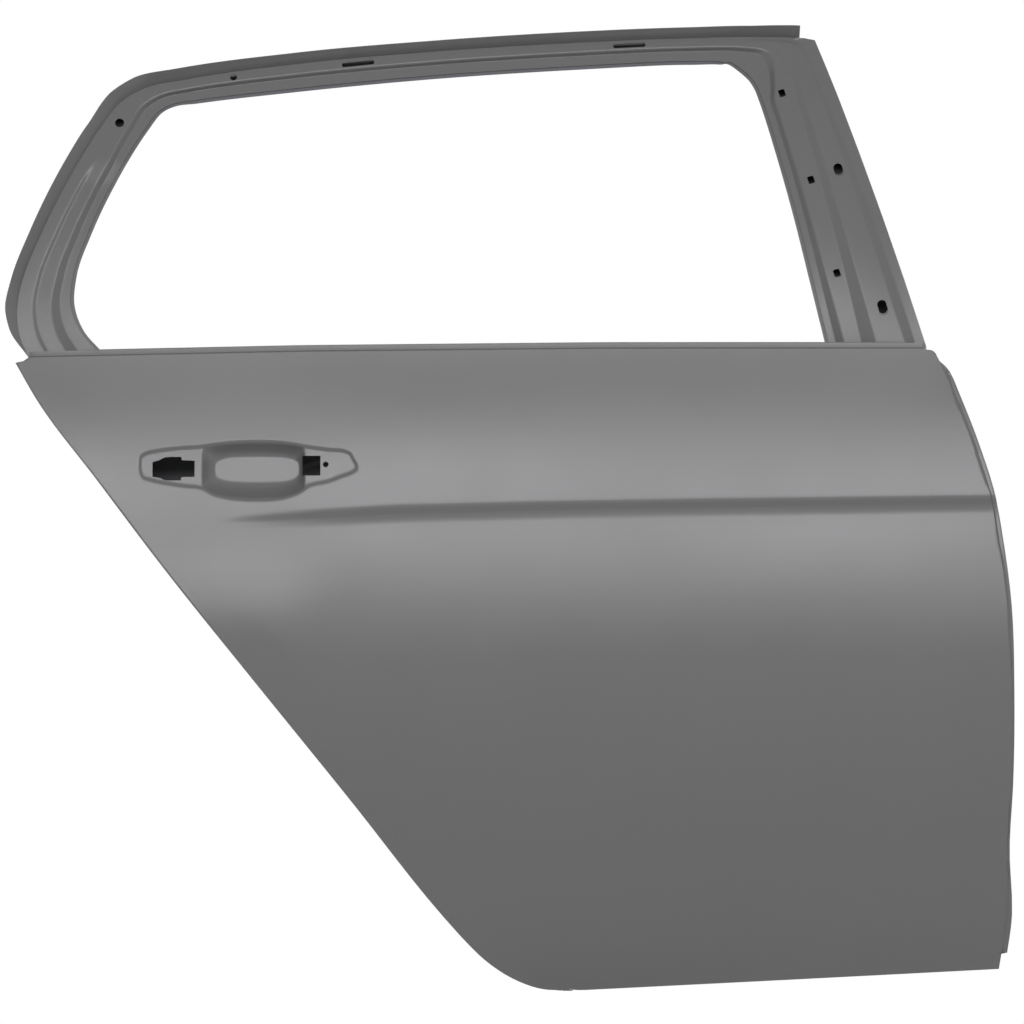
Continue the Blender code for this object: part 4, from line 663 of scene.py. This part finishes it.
HANDLE_OUTLINE = (
    (-0.4959, 0.2426), (-0.5005, 0.1193), (-0.4973, -0.0236), (-0.4868, -0.1140), (-0.4470, -0.1682),
    (-0.3784, -0.2208), (-0.2870, -0.2701), (-0.2124, -0.3030), (-0.1612, -0.4016), (-0.1041, -0.4558),
    (-0.0469, -0.4837), (0.0331, -0.4969), (0.1245, -0.4837), (0.1931, -0.4344), (0.2503, -0.3441),
    (0.2791, -0.2668), (0.3074, -0.2372), (0.3646, -0.1962), (0.4332, -0.1058), (0.4848, -0.0319),
    (0.5022, 0.0207), (0.5040, 0.0782), (0.4848, 0.2228), (0.4734, 0.3001), (0.4537, 0.3379),
    (0.3646, 0.3789), (0.2731, 0.4233), (0.2160, 0.4611), (0.1245, 0.4972), (0.0331, 0.5055),
    (-0.0583, 0.4940), (-0.1612, 0.4562), (-0.2124, 0.4282), (-0.3098, 0.4036), (-0.4241, 0.3510),
    (-0.4698, 0.3132),
)
KEY_HOLE_OUTLINE = (
    (-0.500, 0.281), (-0.339, 0.365), (-0.221, 0.475), (-0.074, 0.500), (0.181, 0.500),
    (0.193, 0.357), (0.500, 0.340), (0.500, -0.344), (0.193, -0.352), (0.169, -0.500),
    (-0.193, -0.500), (-0.323, -0.395), (-0.500, -0.344),
)


def smooth_line(shares, count):
    """Evenly spaced points on the cubic through points given in shares."""
    points = sized(shares)
    stations = travel(points)
    return cubic(points, stations, np.linspace(0.0, stations[-1], count))


def smooth_loop(points, count):
    """Evenly spaced points on the closed cubic through the points."""
    wrapped = np.concatenate([points[-3:], points, points[:4]])
    stations = travel(wrapped)
    at = np.linspace(stations[3], stations[3 + len(points)], count + 1)[:-1]
    return cubic(wrapped, stations, at)


def edge_at(line, z):
    """Where an upright line stands at height z."""
    order = np.argsort(line[:, 1], kind="stable")
    return np.interp(z, line[order, 1], line[order, 0])


def softened(value, reach):
    """A ramp from 0 to 1 averaged over a short reach, so that both its ends are round."""

    def area(t):
        return np.where(t < 0, 0.0, np.where(t < 1, t * t / 2, t - 0.5))

    return (area(value + reach / 2) - area(value - reach / 2)) / reach


def skin_y(x, z):
    """Depth of the skin: tuck at belt to the power 2.2 and at sill squared, a bow squared
    in plan, the crease's step that runs out below it, a swell low behind the handle, and the
    turn-in under the sill line."""
    rise = np.clip((z - WIDEST) / (line_z(BELT_LINE, x) - WIDEST), 0.0, None)
    fall = np.clip((WIDEST - z) / WIDEST, 0.0, None)
    drop = line_z(CREASE_LINE, x) - z
    crease = CREASE_DEPTH * ease((x / LENGTH - CREASE_START) / CREASE_FADE)
    crease = crease * softened(drop / CREASE_EDGE, CREASE_ROUNDING)
    crease = crease * (1.0 - softened((drop - CREASE_EDGE) / CREASE_BLEND, BLEND_ROUNDING))
    below = np.clip((line_z(SILL_LINE, x) - z) / SILL_CREASE_REACH, 0.0, None)
    bow = PLAN_BOW * (2.0 * x / LENGTH - 1.0) ** 2
    swell = SWELL * ease((SWELL_END - x) / SWELL_FADE) * ease((z - SWELL_FOOT) / SWELL_RUN)
    swell = swell * (1.0 - softened((z - SWELL_TOP) / SWELL_RISE, SWELL_ROUNDING))
    tuck = BELT_TUCK * rise**BELT_CURVE + SILL_TUCK * fall**2
    return bow + tuck - swell + crease + SILL_CREASE * below**SILL_CREASE_CURVE


rear_line = np.concatenate([smooth_line(REAR_EDGE, REAR_POINTS), sized(HORN)[1:]])
front_line = np.concatenate([
    sized(NOTCH), smooth_line(FRONT_EDGE, FRONT_POINTS)[1:], smooth_line(FRONT_TOP, TOP_POINTS)[1:],
])
face_line = smooth_line(FACE_EDGE, FRONT_POINTS)


def joggled(x, z):
    """Set-in of the front hem band: an eased ramp over the first third of its width."""
    inner, outer = edge_at(face_line, z), edge_at(front_line, z)
    inside = (z > NOTCH[1][1] * HEIGHT) & (z < FACE_EDGE[0][1] * HEIGHT)
    wide = np.maximum(JOGGLE_RAMP * (outer - inner), SKIN_SHEET)
    return np.where(inside, JOGGLE * ease((x - inner) / wide), 0.0)


def distance_inside(points, loop):
    """Distance from each point to the nearest side of a closed outline, below 0 outside."""
    end = np.roll(loop, -1, axis=0)
    side = end - loop
    toward = points[:, None] - loop
    share = np.clip((toward * side).sum(axis=2) / (side**2).sum(axis=1), 0.0, 1.0)
    gap = np.linalg.norm(points[:, None] - loop - share[..., None] * side, axis=2).min(axis=1)
    x, z = points[:, :1], points[:, 1:]
    rise = np.where(side[:, 1] == 0, 1.0, side[:, 1])
    spans = (loop[:, 1] > z) != (end[:, 1] > z)
    crosses = spans & (x < loop[:, 0] + (z - loop[:, 1]) * side[:, 0] / rise)
    return np.where(crosses.sum(axis=1) % 2 == 1, gap, -gap)


def on_handle(shares):
    """Places given in shares of the recess's length and height about its middle, in
    metres on the door."""
    return sized(HANDLE_MIDDLE) + np.asarray(shares, float) * HANDLE_SIZE


def oval(spot):
    """A rounded rectangle from its middle, its size and its power: the sine and cosine of
    each turn are raised to two over the power."""
    unit = squared(disc(OVAL_POINTS), 2.0 / spot[4])
    return on_handle(spot[:2]) + unit * np.array(spot[2:4]) * HANDLE_SIZE


handle_loop = smooth_loop(on_handle(HANDLE_OUTLINE), HANDLE_POINTS)
cup_loop, floor_loop = oval(CUP), oval(CUP_FLOOR)
above = handle_loop[:, 1] > handle_loop[:, 1].mean()
for half, kept, edge in ((above, np.minimum, -CUP_EDGE), (~above, np.maximum, CUP_EDGE)):
    side = handle_loop[half][np.argsort(handle_loop[half, 0])]
    limit = np.interp(cup_loop[:, 0], side[:, 0], side[:, 1])
    cup_loop[:, 1] = kept(cup_loop[:, 1], limit + edge)


def recessed(x, z, depth):
    """Depth with the handle recess: the ledge set in behind its outline, and the cup sunk
    between its rim and its leaning floor, by the distances to both, with a steep rim and
    a hollow that runs out into the floor."""
    points = np.stack([x.ravel(), z.ravel()], axis=1)
    low, high = handle_loop.min(axis=0) - LEDGE_EDGE, handle_loop.max(axis=0) + LEDGE_EDGE
    near = np.flatnonzero(np.all((points > low) & (points < high), axis=1))
    inside, rim, floor = (
        distance_inside(points[near], loop) for loop in (handle_loop, cup_loop, floor_loop)
    )
    toward = np.where(rim < 0, 0.0, np.where(floor > 0, 1.0, rim / np.maximum(rim - floor, 1e-9)))
    deep = depth.ravel().copy()
    deep[near] += LEDGE_DEPTH * softened(inside / LEDGE_EDGE - LEDGE_START, LEDGE_ROUNDING)
    cup_x, cup_z = on_handle(CUP_FLOOR[:2])
    cup_y = float(skin_y(cup_x, cup_z)) + CUP_DEPTH + CUP_LEAN * (points[near, 1] - cup_z)
    past_rim = softened((toward - CUP_RIM) / (1.0 - CUP_RIM), CUP_ROUNDING)
    deep[near] += (cup_y - deep[near]) * (1.0 - (1.0 - past_rim) ** CUP_CURVE)
    return deep.reshape(x.shape)


def spaced(stops, counts):
    """Values from the first stop to the last, with a count of even steps from each stop to
    the next."""
    runs = [np.linspace(a, b, n + 1)[:-1] for a, b, n in zip(stops, stops[1:], counts)]
    return np.concatenate([*runs, stops[-1:]])


def between_edges(shares, z):
    """Where a share of the way from the rear to the front edge stands at height z."""
    rear = edge_at(rear_line, z)
    return rear + shares * (edge_at(front_line, z) - rear)


sill_rows = SILL_ROWS_TOP * np.linspace(0.0, 1.0, SILL_ROWS + 1)[:-1] ** 2
low_rows = np.sort(np.concatenate([sill_rows, NOTCH_ROWS, spaced(*LOW_ROWS)]))
crease_rows, handle_rows = spaced(*CREASE_ROWS)[1:], spaced(*HANDLE_ROWS)[1:]
levels = np.concatenate([low_rows, crease_rows, handle_rows])[:, None]
steps = spaced(*COLUMNS)[None]
z = np.full((len(levels), steps.shape[1]), HEIGHT / 3)
for _ in range(SETTLING):
    x = between_edges(steps, z)
    bottom, crease, belt = line_z(BOTTOM_LINE, x), line_z(CREASE_LINE, x), line_z(BELT_LINE, x)
    foot = crease - CREASE_EDGE
    z = np.select(
        [levels < 1, levels < 2],
        [bottom + (foot - bottom) * levels, foot + (crease - foot) * (levels - 1)],
        crease + (belt - crease) * (levels - 2),
    )
x = between_edges(steps, z)
y = recessed(x, z, skin_y(x, z) + joggled(x, z))

edge = np.stack([
    np.concatenate([line[::-1, 0], line[0, 1:], line[1:, -1]]) for line in (x, y, z)
], axis=1)
ahead = np.diff(edge[:, [0, 2]], axis=0)
across = np.stack([-ahead[:, 1], ahead[:, 0]], axis=1)
across = across / np.maximum(np.linalg.norm(ahead, axis=1), 1e-9)[:, None]
padded = np.pad(across, ((HEM_AVERAGE // 2, HEM_AVERAGE // 2), (0, 0)), mode="edge")
shares = np.ones(HEM_AVERAGE) / HEM_AVERAGE
inward = np.stack([np.convolve(side, shares, "valid") for side in padded.T], axis=1)
inward = inward / np.linalg.norm(inward, axis=1)[:, None]
hem_rows = []
for back_in, behind_face in (
    (HEM_RADIUS, 0.0), (HEM_BEND, HEM_BEND), (0.0, HEM_RADIUS), (0.0, HEM_DEPTH - HEM_RADIUS),
    (HEM_BEND, HEM_DEPTH - HEM_BEND), (HEM_RADIUS, HEM_DEPTH), (HEM_RETURN, HEM_DEPTH),
):
    row = edge.copy()
    row[:, [0, 2]] += inward * back_in
    row[:, 1] += behind_face
    hem_rows.append(row)
rows, columns = x.shape
for grid, bend in ((x, hem_rows[0][:, 0]), (z, hem_rows[0][:, 2])):
    grid[::-1, 0] = bend[:rows]
    grid[0] = bend[rows - 1 : rows - 1 + columns]
    grid[:, -1] = bend[-rows:]
belt_foot = BELT_SET_IN - BELT_LEAN
belt_rows = [
    np.stack([x[-1], y[-1] + back, z[-1] + up], axis=1)
    for up, back in (
        (0.0, 0.0), (BELT_RADIUS / 2, BELT_RADIUS / 2), (BELT_RADIUS, BELT_BEND),
        (BELT_RADIUS, belt_foot - BELT_BEND), (BELT_RADIUS * 1.5, belt_foot - BELT_RADIUS / 2),
        (BELT_RADIUS * 3, belt_foot), (BELT_FLANGE, BELT_SET_IN),
    )
]

skin_holes = []
for share, outline in (
    (KEY_HOLE[:2], np.array(KEY_HOLE_OUTLINE) * KEY_HOLE[2:] * HANDLE_SIZE),
    (PULL_HOLE[:2], np.array(CORNERS) * PULL_HOLE[2:] * HANDLE_SIZE),
    (SCREW_HOLE, disc(SCREW_POINTS) * SCREW_SIZE),
):
    spot_x, spot_z = on_handle(share)
    skin_holes.append(((spot_x, float(skin_y(spot_x, spot_z)), spot_z), outline, 0))
skin = stamped(
    "skin_pressing",
    [lofted(np.stack([x, y, z], axis=2)), lofted(hem_rows[::-1]), lofted(belt_rows)],
    SKIN_SHEET, primer, prisms("skin_holes", skin_holes, CUP_DEPTH), even=False,
)
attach(skin, "root")
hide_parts("outer_skin")

# Studio: a plain white floor, a sky that is brightest before the door, a long soft lamp
# before and a little above it, a narrower one higher up and a broad one behind.

SKY_TOWARD = (0.42, -0.90, 0.10)
SKY_DARK, SKY_BRIGHT = 0.10, 0.62
FLOOR_REACH = 12.0
FLOOR_BELOW = 0.0002
FLOOR_COLOR = (0.82, 0.81, 0.79, 1.0)
WHITE = (1.0, 1.0, 1.0, 1.0)
CAMERA_SPOT = (-0.5150, -4.566, 0.0779)
CAMERA_LENS, CAMERA_SENSOR = 143.8, 36.0


def white_room(tree, shown, surface):
    """Plain white where the camera, a glossy or a clear surface looks, the given shader
    elsewhere."""
    nodes, links = tree.nodes, tree.links
    path = nodes.new("ShaderNodeLightPath")
    seen = path.outputs["Is Camera Ray"]
    for ray in ("Is Glossy Ray", "Is Transmission Ray"):
        either = nodes.new("ShaderNodeMath")
        either.operation = "MAXIMUM"
        links.new(seen, either.inputs[0])
        links.new(path.outputs[ray], either.inputs[1])
        seen = either.outputs["Value"]
    mix = nodes.new("ShaderNodeMixShader")
    links.new(seen, mix.inputs["Fac"])
    links.new(surface.outputs[0], mix.inputs[1])
    links.new(shown.outputs[0], mix.inputs[2])
    return mix


world = bpy.data.worlds.new("sky")
bpy.context.scene.world = world
world.use_nodes = True
tree = world.node_tree
sky = tree.nodes["Background"]
toward = tree.nodes.new("ShaderNodeVectorMath")
toward.operation = "DOT_PRODUCT"
tree.links.new(tree.nodes.new("ShaderNodeTexCoord").outputs["Generated"], toward.inputs[0])
toward.inputs[1].default_value = SKY_TOWARD
ahead = tree.nodes.new("ShaderNodeMapRange")
ahead.interpolation_type = "SMOOTHSTEP"
ahead.inputs["To Min"].default_value = SKY_DARK
ahead.inputs["To Max"].default_value = SKY_BRIGHT
tree.links.new(toward.outputs["Value"], ahead.inputs["Value"])
tree.links.new(ahead.outputs["Result"], sky.inputs["Strength"])
white = tree.nodes.new("ShaderNodeBackground")
sky.inputs["Color"].default_value = WHITE
white.inputs["Color"].default_value = WHITE
mix = white_room(tree, white, sky)
tree.links.new(mix.outputs[0], tree.nodes["World Output"].inputs["Surface"])

floor_z = cad_box[0][2] - FLOOR_BELOW
corners = ((-1, -1), (1, -1), (1, 1), (-1, 1))
mesh = bpy.data.meshes.new("floor")
mesh.from_pydata([(x * FLOOR_REACH, y * FLOOR_REACH, floor_z) for x, y in corners], [], [(0, 1, 2, 3)])
floor = placed("floor", mesh)
paint = bpy.data.materials.new("floor_paint")
paint.use_nodes = True
tree = paint.node_tree
surface = tree.nodes["Principled BSDF"]
surface.inputs["Base Color"].default_value = FLOOR_COLOR
surface.inputs["Roughness"].default_value = 0.9
surface.inputs["Specular IOR Level"].default_value = 0.0
glow = tree.nodes.new("ShaderNodeEmission")
glow.inputs["Color"].default_value = WHITE
mix = white_room(tree, glow, surface)
tree.links.new(mix.outputs[0], tree.nodes["Material Output"].inputs["Surface"])
mesh.materials.append(paint)


def soft_lamp(name, spot, aim, width, height, radiance, tint=(1.0, 1.0, 1.0)):
    """A rectangular lamp that faces a point, its power the radiance times its area and pi."""
    lamp = bpy.data.lights.new(name, "AREA")
    lamp.shape = "RECTANGLE"
    lamp.size, lamp.size_y = width, height
    lamp.energy = radiance * width * height * math.pi
    lamp.color = tint
    item = placed(name, lamp)
    item.location = spot
    toward = Vector(aim) - Vector(spot)
    item.rotation_euler = toward.to_track_quat("-Z", "Y").to_euler()
    item.visible_camera = False


middle_x = (cad_box[0][0] + cad_box[1][0]) / 2
soft_lamp(
    "front_strip", spot=(middle_x, -4.0, 1.0), aim=(middle_x, 0.0, 0.05),
    width=3.6, height=0.76, radiance=12.0, tint=(0.97, 0.97, 1.0),
)
soft_lamp(
    "upper_strip", spot=(middle_x + 0.2, -3.4, 2.15), aim=(middle_x, 0.0, 0.2),
    width=3.0, height=0.4, radiance=11.0,
)
soft_lamp(
    "back_lamp", spot=(middle_x, 4.0, 1.8), aim=(middle_x, 0.0, 0.0),
    width=3.0, height=2.0, radiance=8.0,
)

camera = bpy.data.cameras.new("camera")
camera.sensor_width = CAMERA_SENSOR
camera.lens = CAMERA_LENS
camera_item = placed("camera", camera)
camera_item.location = CAMERA_SPOT
camera_item.rotation_euler = (math.radians(90), 0.0, 0.0)
bpy.context.scene.camera = camera_item
bpy.context.scene.view_settings.view_transform = "Standard"
